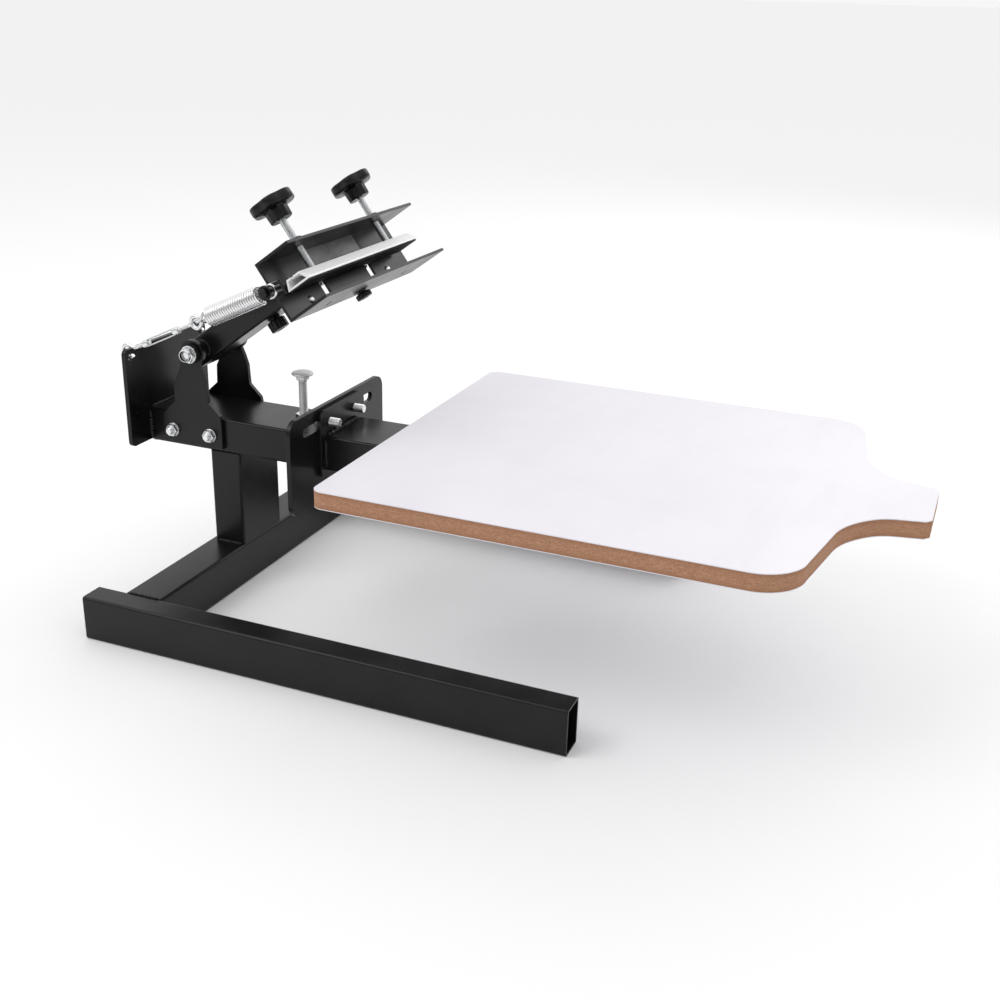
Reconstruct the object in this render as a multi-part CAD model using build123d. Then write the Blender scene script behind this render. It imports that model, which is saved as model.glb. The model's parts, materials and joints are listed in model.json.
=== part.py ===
"""Tabletop screen printing press: a welded stand, one pallet, and one spring-lifted screen clamp.

Frame: origin on the floor under the post's centre, +X towards the pallet's tip, +Y to the operator's
left when looking along +X, +Z up.  Millimetres.  The head is drawn in its raised position.
"""
from build123d import *
from math import atan2, cos, degrees, hypot, pi, radians, sin
import os

# ---- stand -----------------------------------------------------------------------------------
STEEL_WALL = 2.5
TUBE_CORNER_R, TUBE_INNER_CORNER_R = 3, 1
FOOT_LENGTH, FOOT_WIDTH, FOOT_HEIGHT, FOOT_WALL = 550, 30, 50, 2
STANCE = 460                    # across the outsides of both feet
FOOT_REAR_X = -60
CROSS_REAR_X, CROSS_FRONT_X = -26, 20
POST_DEPTH, POST_WIDTH = 40, 80
BEAM_WIDTH, BEAM_HEIGHT = 80, 40
BEAM_BOTTOM_Z, BEAM_REAR_X, BEAM_FRONT_X = 162, -99.5, 122.5
BEAM_TOP_Z = BEAM_BOTTOM_Z + BEAM_HEIGHT
PLATE = 5                       # thickness of every flat steel bracket

# ---- metric fasteners: radius, width across flats, head height, nut height, washer --------------------
M5_R, M6_R, M8_R, M10_R = 2.5, 3, 4, 5
M5_FLATS, M8_FLATS, M10_FLATS = 8, 13, 16
M8_HEAD, M10_HEAD = 5.4, 6.4
M5_NUT, M8_NUT, M10_NUT = 4, 6.5, 8
M8_WASHER_R, M8_WASHER = 8, 1.6
M10_WASHER_R, M10_WASHER = 10, 2

# ---- spring plate, hinge plates and mount plate --------------------------------------------------
SPRING_PLATE_WIDTH, SPRING_PLATE_BOTTOM_Z, SPRING_PLATE_TOP_Z = 154, 164, 278
SPRING_PLATE_CORNER_R = 6
SPRING_Y = 67                   # each spring stands this far from the centre plane
HOOK_HOLE_R, HOOK_HOLE_BELOW = 4.5, 7
HINGE_BOLT_X, HINGE_BOLT_Z, HINGE_BOLT_HOLE_R = (-65, -15), 182, 4.2
HINGE_TOP_R = 15
MOUNT_WIDTH, MOUNT_BOTTOM_Z, MOUNT_TOP_Z, MOUNT_CORNER_R = 212, 126, 235, 15
SLOT_Z, SLOT_HALF_LENGTH, SLOT_HEIGHT = 216, 79, 10.6

# ---- pallet ------------------------------------------------------------------------------------
PALLET_LENGTH, PALLET_WIDTH, PALLET_THICK, PALLET_REAR_X = 550, 450, 18, 220.5
LAMINATE = 0.8
PALLET_TOP_Z = BEAM_TOP_Z + PALLET_THICK
BRACKET_WIDTH, BRACKET_TOP_Z, BRACKET_CORNER_R = 100, 232, 12
PALLET_ARM_FRONT_X = 480
PALLET_BOLT_Y, PALLET_BOLT_PROUD = 28, 12
SLIDE_GAP = 0.1                 # paint gap between the mount plate and the pallet bracket
PALLET_SCREW_X, PALLET_SCREW_Y, PALLET_SCREW_DEPTH = (260, 440), 25, 12
PALLET_SCREW_HEAD_R, PALLET_SCREW_HEAD, DRIVER_HOLE_R = 5, 3, 7
BRACKET_BELOW_BEAM = 8

# ---- head (u runs along the arm from the pivot, w stands square to it) --------------------------
TILT = 36.3                     # the arm's angle above level when it is raised
PIVOT_X, PIVOT_Z = -33, 276.2
SPACER_R, SPACER = 11, 5
M8_BOLT_PROUD, PIVOT_BOLT_SHORT = 2.4, 1.5   # bolt ends beyond or inside their nuts
RUNNING = 0.05                  # radial clearance of a turning or sliding fit
ARM_WIDTH, ARM_HEIGHT, ARM_REAR_U, ARM_FRONT_U = 50, 30, -18, 170
PIVOT_TUBE_R, BUSHING_R, BUSHING_COLLAR, BUSHING_INNER_Y = 10, 7.5, 0.4, 18
SIDE_PLAY = 0.1                 # gap between each bushing's collar and its hinge plate
POST_U, POST_REACH, POST_HEAD_R, POST_HEAD = 148, 79, 6, 4
POST_WASHER_Y = (76, 77.5)
STEM_GAP, STEM_REAR_U = 0.2, 60
CHANNEL_REAR_U, CHANNEL_WALL, CHANNEL_LENGTH = 195, 3, 270
FLOOR_FRONT_U, FLANGE_FRONT_U = 246, 241
CHANNEL_BOTTOM_W, CHANNEL_TOP_W = -47.5, 18.5
WEB_FRONT_U = CHANNEL_REAR_U + CHANNEL_WALL
GUIDE_Y, GUIDE_SLOT_WIDTH, GUIDE_SLOT_W = 50, 12, (-45, -6)
NOTCH_DEPTH, NOTCH_W = 19, (-20, -4)
DRAIN_U, DRAIN_Y = (209, 217), (83, 87)
WEB_SCREW_Y, WEB_SCREW_W, WEB_SCREW_PROUD, PAN_HEAD_R, PAN_HEAD = 85, -34, 6, 4.2, 2.2
BACKING_THICK, BACKING_HALF, BACKING_LOW_W = 3, 50, -3
JAW_U, JAW_DEPTH, JAW_HEIGHT, JAW_LENGTH, JAW_WALL = 217, 30, 11, 240, 2
JAW_BOTTOM_W = -20.5
JAW_REAR_SLOPE, JAW_FRONT_SLOPE, JAW_LIP = 5, 7, 2   # the bar's top is narrower than its base
JAW_SEAM = (10, 14)              # a seam along its top, measured from its rear edge
JAW_W = JAW_BOTTOM_W + JAW_HEIGHT / 2
PAD_THICK, PAD_DEPTH = 1.5, 26
STUD_Y, STUD_TIP_R, STUD_TIP_BELOW = 82, 2.8, 2
CLIP_R, CLIP = 5, 1
KNOB_BOTTOM_W, KNOB_HUB_HEIGHT, KNOB_HUB_R = 47, 13, 12.5
KNOB_CAP_HEIGHT, KNOB_CAP_R, KNOB_LOBES = 11, 25, 6
KNOB_DIP_R, KNOB_DIP_DEPTH, KNOB_EDGE_R = 12.5, 2.6, 2
LOCK_U, LOCK_KNOB_R, LOCK_BOSS, LOCK_BOSS_FLATS = 89, 10.8, 1.5, 14
LOCK_KNOB_W = (-30, -17)
FLOOR_SCREW_U, FLOOR_KNOB_R = 203, 9
FLOOR_KNOB_W = (-55, -48)
FLOOR_DISC_R, FLOOR_DISC_W = 4.5, (-39.5, -37.5)

# ---- stop screw ----------------------------------------------------------------------------------
STOP_X, STOP_HEAD_R, STOP_HEAD_Z, STOP_DOME = 82, 12.5, 255.5, 4.5
STOP_NECK_WIDTH, STOP_NECK = 11.5, 6

# ---- spring linkage (t runs along the link from the hook on the spring plate) --------------------
HOOK_X = BEAM_REAR_X - PLATE / 2
HOOK_Z = SPRING_PLATE_TOP_Z - PLATE / 2
WIRE_R, HOOK_BEND_R, HOOK_CURL = 2.25, 7.2, (50, 300)   # the curl's start and end angles
TURNBUCKLE = (24, 78)           # start and end of the turnbuckle's body
BOSS_R, BOSS_LENGTH, ROD_IN_BODY = 4, 8, 10
SIDE_BAR_HALF, SIDE_BAR = 1.6, (2.6, 4.4)   # half width, and distance of both faces from the axis
EYE_T, EYE_BEND_R = 103.4, 6.5
COIL = (121, 197)               # start and end of the closed coil
COIL_R, SPRING_WIRE_R = 11, 1.6
GUIDE_DISC = (180, 184)         # a disc inside the coil that the front hook's tail runs through
DISC_GAP, TAIL_PLAY = 0.2, 0.4
TAIL_START = 176
REAR_LOOP_R, LOOP_GAP, COIL_END = 6, 0.15, 3
SPRING_HOOK_R, SPRING_HOOK_CURL = 7, (150, -130)


def head_point(u, w):
    """The row-frame x and z of a point in the head's own frame."""
    a = radians(TILT)
    return PIVOT_X + u * cos(a) - w * sin(a), PIVOT_Z + u * sin(a) + w * cos(a)


POST_X, POST_Z = head_point(POST_U, 0)
LINK_ANGLE = degrees(atan2(POST_Z - HOOK_Z, POST_X - HOOK_X))
LINK_LENGTH = hypot(POST_Z - HOOK_Z, POST_X - HOOK_X)
HEAD = Pos(PIVOT_X, 0, PIVOT_Z) * Rot(0, -TILT, 0)


def link_place(side):
    return Pos(HOOK_X, side * SPRING_Y, HOOK_Z) * Rot(0, -LINK_ANGLE, 0)


# ---- shape helpers -------------------------------------------------------------------------------
def block(x, y, z):
    """A box given by its low and high limit on each axis."""
    size = [b - a for a, b in (x, y, z)]
    middle = [(a + b) / 2 for a, b in (x, y, z)]
    return Pos(*middle) * Box(*size)


def rod(start, end, radius):
    """A round rod between two points."""
    a, b = Vector(*start), Vector(*end)
    plane = Plane(origin=a, z_dir=b - a)
    return plane * extrude(Circle(radius), (b - a).length)


def hexagon(start, end, across_flats):
    """A hexagonal prism between two points."""
    a, b = Vector(*start), Vector(*end)
    plane = Plane(origin=a, z_dir=b - a)
    return plane * extrude(RegularPolygon(across_flats / 2, 6, major_radius=False), (b - a).length)


def washer(start, end, outer_r, inner_r):
    return rod(start, end, outer_r) - rod(start, end, inner_r)


def nut(start, end, across_flats, hole_r):
    return hexagon(start, end, across_flats) - rod(start, end, hole_r)


def tube(plane, width, height, wall, length):
    """A drawn tube along a plane's normal, rounded at its corners inside and out."""
    outer = RectangleRounded(width, height, TUBE_CORNER_R)
    inner = RectangleRounded(width - 2 * wall, height - 2 * wall, TUBE_INNER_CORNER_R)
    return plane * extrude(outer - inner, length)


def tube_along_x(x, width, height, wall, z_middle):
    plane = Plane(origin=(x[0], 0, z_middle), x_dir=(0, 1, 0), z_dir=(1, 0, 0))
    return tube(plane, width, height, wall, x[1] - x[0])


def upright_plate(x, half_width, z, corner_r):
    """A rounded plate standing square to X."""
    outline = RectangleRounded(2 * half_width, z[1] - z[0], corner_r)
    plane = Plane(origin=(x[0], 0, (z[0] + z[1]) / 2), x_dir=(0, 1, 0), z_dir=(1, 0, 0))
    return plane * extrude(outline, x[1] - x[0])


def star_knob(bore_r):
    """A knob on the Z axis: a hub, then a cap with shallow dips between its lobes."""
    bottom, middle = KNOB_BOTTOM_W, KNOB_BOTTOM_W + KNOB_HUB_HEIGHT
    top = middle + KNOB_CAP_HEIGHT
    hub = rod((0, 0, bottom), (0, 0, middle), KNOB_HUB_R)
    cap = rod((0, 0, middle), (0, 0, top), KNOB_CAP_R)
    dip_centre = KNOB_CAP_R + KNOB_DIP_R - KNOB_DIP_DEPTH
    for k in range(KNOB_LOBES):
        a = 2 * pi * (k + 0.5) / KNOB_LOBES
        x, y = dip_centre * cos(a), dip_centre * sin(a)
        cap -= rod((x, y, bottom), (x, y, top + 1), KNOB_DIP_R)
    cap = fillet(cap.edges().group_by(Axis.Z)[-1], KNOB_EDGE_R)
    return hub + cap - rod((0, 0, bottom), (0, 0, middle), bore_r)


def wire_path(points_and_arcs, wire_r):
    """A round wire swept along joined edges that lie in the XZ plane."""
    path = Wire(points_and_arcs)
    start = path @ 0
    return sweep(Plane(origin=start, z_dir=path % 0) * Circle(wire_r), path=path)


# ---- stand ---------------------------------------------------------------------------------------
def foot(side):
    middle_y = side * (STANCE - FOOT_WIDTH) / 2
    x = (FOOT_REAR_X, FOOT_REAR_X + FOOT_LENGTH)
    return Pos(0, middle_y, 0) * tube_along_x(x, FOOT_WIDTH, FOOT_HEIGHT, FOOT_WALL, FOOT_HEIGHT / 2)


def crossmember():
    half, middle_x = STANCE / 2 - FOOT_WIDTH, (CROSS_REAR_X + CROSS_FRONT_X) / 2
    plane = Plane(origin=(middle_x, -half, FOOT_HEIGHT / 2), x_dir=(1, 0, 0), z_dir=(0, 1, 0))
    return tube(plane, CROSS_FRONT_X - CROSS_REAR_X, FOOT_HEIGHT, STEEL_WALL, 2 * half)


def post():
    plane = Plane(origin=(0, 0, FOOT_HEIGHT), x_dir=(1, 0, 0), z_dir=(0, 0, 1))
    return tube(plane, POST_DEPTH, POST_WIDTH, STEEL_WALL, BEAM_BOTTOM_Z - FOOT_HEIGHT)


def beam():
    tube = tube_along_x((BEAM_REAR_X, BEAM_FRONT_X), BEAM_WIDTH, BEAM_HEIGHT, STEEL_WALL,
                        BEAM_TOP_Z - BEAM_HEIGHT / 2)
    for x in HINGE_BOLT_X:
        tube -= rod((x, -BEAM_WIDTH, HINGE_BOLT_Z), (x, BEAM_WIDTH, HINGE_BOLT_Z), HINGE_BOLT_HOLE_R)
    return tube - rod((STOP_X, 0, BEAM_TOP_Z - 2 * STEEL_WALL), (STOP_X, 0, BEAM_TOP_Z + 1), M10_R + RUNNING)


def spring_plate():
    plate = upright_plate((BEAM_REAR_X - PLATE, BEAM_REAR_X), SPRING_PLATE_WIDTH / 2,
                          (SPRING_PLATE_BOTTOM_Z, SPRING_PLATE_TOP_Z), SPRING_PLATE_CORNER_R)
    hole_z = HOOK_Z - HOOK_HOLE_BELOW
    for side in (-1, 1):
        y = side * SPRING_Y
        plate -= rod((BEAM_REAR_X - 2 * PLATE, y, hole_z), (BEAM_REAR_X + PLATE, y, hole_z), HOOK_HOLE_R)
    return plate


def hinge_plate(side):
    """A waisted side plate: wide where it is bolted to the beam, round where it carries the pivot."""
    neck_front = (PIVOT_X + 7, PIVOT_Z - 11)
    neck_rear = (PIVOT_X - 13.5, PIVOT_Z - 6.6)
    front = [(-24.5, 263), (-21, 255), (-17, 243), (-15.5, 220), (-1, 206), (0.5, 198), (0.5, 167)]
    rear = [(-78, 167), (-78, 198), (-72, 206), (-61, 216), (-60, 238), (-51, 256)]
    with BuildSketch(Plane.XZ) as outline:
        with BuildLine():
            Polyline(neck_front, *front, *rear, neck_rear, neck_front)
        make_face()
        with Locations((PIVOT_X, PIVOT_Z)):
            Circle(HINGE_TOP_R)
    plate = extrude(outline.sketch, PLATE / 2, both=True)
    plate = Pos(0, side * (BEAM_WIDTH + PLATE) / 2, 0) * plate
    plate -= rod((PIVOT_X, -BEAM_WIDTH, PIVOT_Z), (PIVOT_X, BEAM_WIDTH, PIVOT_Z), M10_R)
    for x in HINGE_BOLT_X:
        plate -= rod((x, -BEAM_WIDTH, HINGE_BOLT_Z), (x, BEAM_WIDTH, HINGE_BOLT_Z), HINGE_BOLT_HOLE_R)
    return plate


HINGE_FACE_Y = BEAM_WIDTH / 2 + PLATE


def hinge_plate_bolts():
    """Two through bolts: heads on the left, threaded ends on the right."""
    head_y, end_y = HINGE_FACE_Y + M8_WASHER, -HINGE_FACE_Y - M8_WASHER - M8_NUT - M8_BOLT_PROUD
    bolts = []
    for x in HINGE_BOLT_X:
        z = HINGE_BOLT_Z
        shank = rod((x, end_y, z), (x, head_y, z), M8_R)
        bolts.append(shank + hexagon((x, head_y, z), (x, head_y + M8_HEAD, z), M8_FLATS))
    return Compound(children=bolts)


def hinge_plate_nuts():
    solids = []
    for x in HINGE_BOLT_X:
        z = HINGE_BOLT_Z
        for side in (-1, 1):
            face = side * HINGE_FACE_Y
            solids.append(washer((x, face, z), (x, face + side * M8_WASHER, z), M8_WASHER_R, M8_R))
        face = -HINGE_FACE_Y - M8_WASHER
        solids.append(nut((x, face, z), (x, face - M8_NUT, z), M8_FLATS, M8_R))
    return Compound(children=solids)


SPACER_FACE_Y = HINGE_FACE_Y + SPACER
PIVOT_NUT_Y = SPACER_FACE_Y + M10_WASHER


def pivot_bolt():
    x, z = PIVOT_X, PIVOT_Z
    shank = rod((x, -PIVOT_NUT_Y - M10_NUT + PIVOT_BOLT_SHORT, z), (x, PIVOT_NUT_Y, z), M10_R)
    return shank + hexagon((x, PIVOT_NUT_Y, z), (x, PIVOT_NUT_Y + M10_HEAD, z), M10_FLATS)


def pivot_spacers():
    x, z = PIVOT_X, PIVOT_Z
    ends = [(side * HINGE_FACE_Y, side * SPACER_FACE_Y) for side in (-1, 1)]
    return Compound(children=[washer((x, a, z), (x, b, z), SPACER_R, M10_R) for a, b in ends])


def pivot_nut():
    x, z = PIVOT_X, PIVOT_Z
    ends = [(side * SPACER_FACE_Y, side * PIVOT_NUT_Y) for side in (-1, 1)]
    solids = [washer((x, a, z), (x, b, z), M10_WASHER_R, M10_R) for a, b in ends]
    solids.append(nut((x, -PIVOT_NUT_Y, z), (x, -PIVOT_NUT_Y - M10_NUT, z), M10_FLATS, M10_R))
    return Compound(children=solids)


def mount_plate():
    plate = upright_plate((BEAM_FRONT_X, BEAM_FRONT_X + PLATE), MOUNT_WIDTH / 2,
                          (MOUNT_BOTTOM_Z, MOUNT_TOP_Z), MOUNT_CORNER_R)
    slot = RectangleRounded(2 * SLOT_HALF_LENGTH, SLOT_HEIGHT, SLOT_HEIGHT * 0.499)
    plane = Plane(origin=(BEAM_FRONT_X - 1, 0, SLOT_Z), x_dir=(0, 1, 0), z_dir=(1, 0, 0))
    return plate - plane * extrude(slot, PLATE + 2)


# ---- pallet carrier ------------------------------------------------------------------------------
BRACKET_REAR_X = BEAM_FRONT_X + PLATE + SLIDE_GAP
BRACKET_FRONT_X = BRACKET_REAR_X + PLATE


def pallet_bracket():
    plate = upright_plate((BRACKET_REAR_X, BRACKET_FRONT_X), BRACKET_WIDTH / 2,
                          (BEAM_BOTTOM_Z - BRACKET_BELOW_BEAM, BRACKET_TOP_Z), BRACKET_CORNER_R)
    for side in (-1, 1):
        y = side * PALLET_BOLT_Y
        plate -= rod((BEAM_FRONT_X, y, SLOT_Z), (BRACKET_FRONT_X + 1, y, SLOT_Z), M10_R)
    return plate


def pallet_arm():
    arm = tube_along_x((BRACKET_FRONT_X, PALLET_ARM_FRONT_X), BEAM_WIDTH, BEAM_HEIGHT, STEEL_WALL,
                       BEAM_TOP_Z - BEAM_HEIGHT / 2)
    for x in PALLET_SCREW_X:
        for side in (-1, 1):
            y = side * PALLET_SCREW_Y
            arm -= rod((x, y, BEAM_TOP_Z - 2 * STEEL_WALL), (x, y, BEAM_TOP_Z + 1), M5_R)
            arm -= rod((x, y, BEAM_BOTTOM_Z - 1), (x, y, BEAM_BOTTOM_Z + 2 * STEEL_WALL), DRIVER_HOLE_R)
    return arm


def pallet_bolts():
    """Two bolts through the mount plate's slot, screwed into the pallet bracket."""
    rear = BEAM_FRONT_X - M10_WASHER
    bolts = []
    for side in (-1, 1):
        y = side * PALLET_BOLT_Y
        shank = rod((rear, y, SLOT_Z), (BRACKET_FRONT_X + PALLET_BOLT_PROUD, y, SLOT_Z), M10_R)
        bolts.append(shank + hexagon((rear - M10_HEAD, y, SLOT_Z), (rear, y, SLOT_Z), M10_FLATS))
    return Compound(children=bolts)


def pallet_washers():
    rear, front = BEAM_FRONT_X - M10_WASHER, BEAM_FRONT_X
    pair = [side * PALLET_BOLT_Y for side in (-1, 1)]
    return Compound(children=[washer((front, y, SLOT_Z), (rear, y, SLOT_Z), M10_WASHER_R, M10_R)
                              for y in pair])


def pallet_outline():
    """The flat board: straight sides, round shoulders, then hollow curves into a narrow nose."""
    half = PALLET_WIDTH / 2
    with BuildSketch() as board:
        with BuildLine() as edge:
            rear = Polyline((0, 0), (0, half - 12))
            corner = TangentArc(rear @ 1, (12, half), tangent=rear % 1)
            side = Line(corner @ 1, (418, half))
            shoulder = TangentArc(side @ 1, (461, 184), tangent=side % 1)
            slope = Line(shoulder @ 1, (472, 112))
            hollow = Spline(slope @ 1, (485, 79), (508, 56), (534, 48.5),
                            tangents=(slope % 1, (1, -0.22)))
            nose = Line(hollow @ 1, (545, 46))
            tip = Line(nose @ 1, (PALLET_LENGTH, 40))
            Line(tip @ 1, (PALLET_LENGTH, 0))
            mirror(edge.line, about=Plane.XZ)
        make_face()
    return board.sketch


def pallet_layer(low_z, high_z):
    layer = Pos(PALLET_REAR_X, 0, low_z) * extrude(pallet_outline(), high_z - low_z)
    for x in PALLET_SCREW_X:
        for side in (-1, 1):
            y = side * PALLET_SCREW_Y
            layer -= rod((x, y, BEAM_TOP_Z - 1), (x, y, BEAM_TOP_Z + PALLET_SCREW_DEPTH), M5_R)
    return layer


def pallet_screws():
    screws = []
    for x in PALLET_SCREW_X:
        for side in (-1, 1):
            y, under = side * PALLET_SCREW_Y, BEAM_TOP_Z - STEEL_WALL
            screws.append(rod((x, y, under), (x, y, BEAM_TOP_Z + PALLET_SCREW_DEPTH), M5_R)
                          + rod((x, y, under - PALLET_SCREW_HEAD), (x, y, under), PALLET_SCREW_HEAD_R))
    return Compound(children=screws)


# ---- head: arm -----------------------------------------------------------------------------------
def arm_tube():
    tube = tube_along_x((ARM_REAR_U, ARM_FRONT_U), ARM_WIDTH, ARM_HEIGHT, STEEL_WALL, 0)
    tube -= rod((0, -ARM_WIDTH, 0), (0, ARM_WIDTH, 0), PIVOT_TUBE_R)
    for side in (-1, 1):
        tube -= rod((POST_U, 0, 0), (POST_U, side * ARM_WIDTH, 0), M8_R)
    tube -= rod((LOCK_U, 0, -ARM_HEIGHT), (LOCK_U, 0, 0), M8_R + RUNNING)
    return HEAD * tube


BUSHING_FACE_Y = BEAM_WIDTH / 2 - SIDE_PLAY
PIVOT_TUBE_Y = BUSHING_FACE_Y - BUSHING_COLLAR


def pivot_tube():
    return HEAD * washer((0, -PIVOT_TUBE_Y, 0), (0, PIVOT_TUBE_Y, 0), PIVOT_TUBE_R, BUSHING_R)


def pivot_bushings():
    """A collared sleeve in each end of the pivot tube."""
    bore = M10_R + RUNNING
    solids = []
    for side in (-1, 1):
        face = side * BUSHING_FACE_Y
        sleeve = washer((0, face, 0), (0, side * BUSHING_INNER_Y, 0), BUSHING_R, bore)
        collar = washer((0, face, 0), (0, side * PIVOT_TUBE_Y, 0), PIVOT_TUBE_R, bore)
        solids.append(sleeve + collar)
    return HEAD * Compound(children=solids)


def spring_posts():
    """A headed pin on each side of the arm for the springs to hook over."""
    posts = []
    for side in (-1, 1):
        inner, outer = side * (ARM_WIDTH / 2 - STEEL_WALL), side * POST_REACH
        pin = rod((POST_U, inner, 0), (POST_U, outer, 0), M8_R)
        head = rod((POST_U, outer, 0), (POST_U, outer + side * POST_HEAD, 0), POST_HEAD_R)
        posts.append(pin + head)
    return HEAD * Compound(children=posts)


def spring_post_nuts():
    nuts = []
    for side in (-1, 1):
        face = side * ARM_WIDTH / 2
        nuts.append(nut((POST_U, face, 0), (POST_U, face + side * M8_NUT, 0), M8_FLATS, M8_R))
        inner, outer = [side * y for y in POST_WASHER_Y]
        nuts.append(washer((POST_U, inner, 0), (POST_U, outer, 0), M8_WASHER_R, M8_R))
    return HEAD * Compound(children=nuts)


def lock_boss():
    under = -ARM_HEIGHT / 2
    return HEAD * nut((LOCK_U, 0, under - LOCK_BOSS), (LOCK_U, 0, under), LOCK_BOSS_FLATS, M8_R + RUNNING)


# ---- head: screen clamp --------------------------------------------------------------------------
def reach_stem():
    width = ARM_WIDTH - 2 * STEEL_WALL - 2 * STEM_GAP
    height = ARM_HEIGHT - 2 * STEEL_WALL - 2 * STEM_GAP
    return HEAD * tube_along_x((STEM_REAR_U, CHANNEL_REAR_U), width, height, STEEL_WALL, 0)


def clamp_channel():
    """A deep channel lying on its side: web at the rear, floor below, flange above."""
    half, t = CHANNEL_LENGTH / 2, CHANNEL_WALL
    span = (-half, half)
    web = block((CHANNEL_REAR_U, WEB_FRONT_U), span, (CHANNEL_BOTTOM_W, CHANNEL_TOP_W))
    floor = block((CHANNEL_REAR_U, FLOOR_FRONT_U), span, (CHANNEL_BOTTOM_W, CHANNEL_BOTTOM_W + t))
    flange = block((CHANNEL_REAR_U, FLANGE_FRONT_U), span, (CHANNEL_TOP_W - t, CHANNEL_TOP_W))
    channel = web + floor + flange
    web_x = (CHANNEL_REAR_U - 1, WEB_FRONT_U + 1)
    for side in (-1, 1):
        slot_y = sorted(side * (GUIDE_Y + k * GUIDE_SLOT_WIDTH / 2) for k in (-1, 1))
        channel -= block(web_x, slot_y, GUIDE_SLOT_W)
        notch_y = sorted((side * (half - NOTCH_DEPTH), side * (half + 1)))
        channel -= block(web_x, notch_y, NOTCH_W)
        y = side * STUD_Y
        channel -= rod((JAW_U, y, CHANNEL_TOP_W - 2 * t), (JAW_U, y, CHANNEL_TOP_W + 1), M8_R + RUNNING)
        drain_y = sorted(side * y for y in DRAIN_Y)
        channel -= block(DRAIN_U, drain_y, (CHANNEL_BOTTOM_W - 1, CHANNEL_BOTTOM_W + t + 1))
        channel -= rod((CHANNEL_REAR_U - 1, side * WEB_SCREW_Y, WEB_SCREW_W),
                       (WEB_FRONT_U + 1, side * WEB_SCREW_Y, WEB_SCREW_W), M5_R)
    channel -= rod((FLOOR_SCREW_U, 0, CHANNEL_BOTTOM_W - 1), (FLOOR_SCREW_U, 0, CHANNEL_BOTTOM_W + t + 1),
                   M6_R + RUNNING)
    return HEAD * channel


def clamp_backing_plate():
    return HEAD * block((WEB_FRONT_U, WEB_FRONT_U + BACKING_THICK), (-BACKING_HALF, BACKING_HALF),
                        (BACKING_LOW_W, CHANNEL_TOP_W - CHANNEL_WALL))


def web_screws():
    solids = []
    for side in (-1, 1):
        y, w = side * WEB_SCREW_Y, WEB_SCREW_W
        shank = rod((CHANNEL_REAR_U - WEB_SCREW_PROUD, y, w), (WEB_FRONT_U, y, w), M5_R)
        head = rod((WEB_FRONT_U, y, w), (WEB_FRONT_U + PAN_HEAD, y, w), PAN_HEAD_R)
        solids.append(shank + head)
        solids.append(nut((CHANNEL_REAR_U, y, w), (CHANNEL_REAR_U - M5_NUT, y, w), M5_FLATS, M5_R))
    return HEAD * Compound(children=solids)


def flange_nuts():
    nuts = []
    for side in (-1, 1):
        y = side * STUD_Y
        low, high = (JAW_U, y, CHANNEL_TOP_W), (JAW_U, y, CHANNEL_TOP_W + M8_NUT)
        nuts.append(nut(low, high, M8_FLATS, M8_R + RUNNING))
    return HEAD * Compound(children=nuts)


# ---- head: moving jaw ----------------------------------------------------------------------------
JAW_REAR_U, JAW_FRONT_U = JAW_U - JAW_DEPTH / 2, JAW_U + JAW_DEPTH / 2
GUIDE_END_U = JAW_REAR_U + JAW_REAR_SLOPE + JAW_WALL
PAD_REAR_U = JAW_U - PAD_DEPTH / 2


def jaw_section(inset):
    """The bar's section in the head's u and w, shrunk by a wall when inset isn't zero."""
    low, high = JAW_BOTTOM_W, JAW_BOTTOM_W + JAW_HEIGHT
    with BuildSketch(Plane.XZ) as section:
        with BuildLine():
            Polyline((JAW_REAR_U, low), (JAW_FRONT_U, low), (JAW_FRONT_U, low + JAW_LIP),
                     (JAW_FRONT_U - 1, low + JAW_LIP), (JAW_FRONT_U - JAW_FRONT_SLOPE, high),
                     (JAW_REAR_U + JAW_REAR_SLOPE, high), close=True)
        make_face()
        if inset:
            offset(amount=-inset, kind=Kind.INTERSECTION)
    return extrude(section.sketch, JAW_LENGTH / 2, both=True)


def jaw_bar():
    """A hollow aluminium bar with sloping walls and a seam along its top, pressed down by both studs."""
    half, high = JAW_LENGTH / 2, JAW_BOTTOM_W + JAW_HEIGHT
    seam = [JAW_REAR_U + from_rear for from_rear in JAW_SEAM]
    bar = jaw_section(0) - jaw_section(JAW_WALL)
    bar -= block(seam, (-half, half), (high - JAW_WALL - 1, high + 1))
    for side in (-1, 1):
        y = side * STUD_Y
        bar -= rod((JAW_U, y, high - JAW_WALL - 1), (JAW_U, y, high + 1), STUD_TIP_R)
        bar -= rod((JAW_REAR_U - 1, side * GUIDE_Y, JAW_W), (GUIDE_END_U, side * GUIDE_Y, JAW_W), M6_R)
    return HEAD * bar


def jaw_pad():
    half = JAW_LENGTH / 2
    return HEAD * block((PAD_REAR_U, PAD_REAR_U + PAD_DEPTH), (-half, half),
                        (JAW_BOTTOM_W - PAD_THICK, JAW_BOTTOM_W))


def jaw_studs():
    """Threaded studs: a shoulder bears on the bar, a thin tip passes through its top wall."""
    high = JAW_BOTTOM_W + JAW_HEIGHT
    studs = []
    for side in (-1, 1):
        y = side * STUD_Y
        body = rod((JAW_U, y, high), (JAW_U, y, KNOB_BOTTOM_W + KNOB_HUB_HEIGHT - 1), M8_R)
        studs.append(body + rod((JAW_U, y, high - JAW_WALL - STUD_TIP_BELOW), (JAW_U, y, high), STUD_TIP_R))
    return HEAD * Compound(children=studs)


def stud_clips():
    top = JAW_BOTTOM_W + JAW_HEIGHT - JAW_WALL
    pair = [side * STUD_Y for side in (-1, 1)]
    return HEAD * Compound(children=[washer((JAW_U, y, top - CLIP), (JAW_U, y, top), CLIP_R, STUD_TIP_R)
                                     for y in pair])


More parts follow.
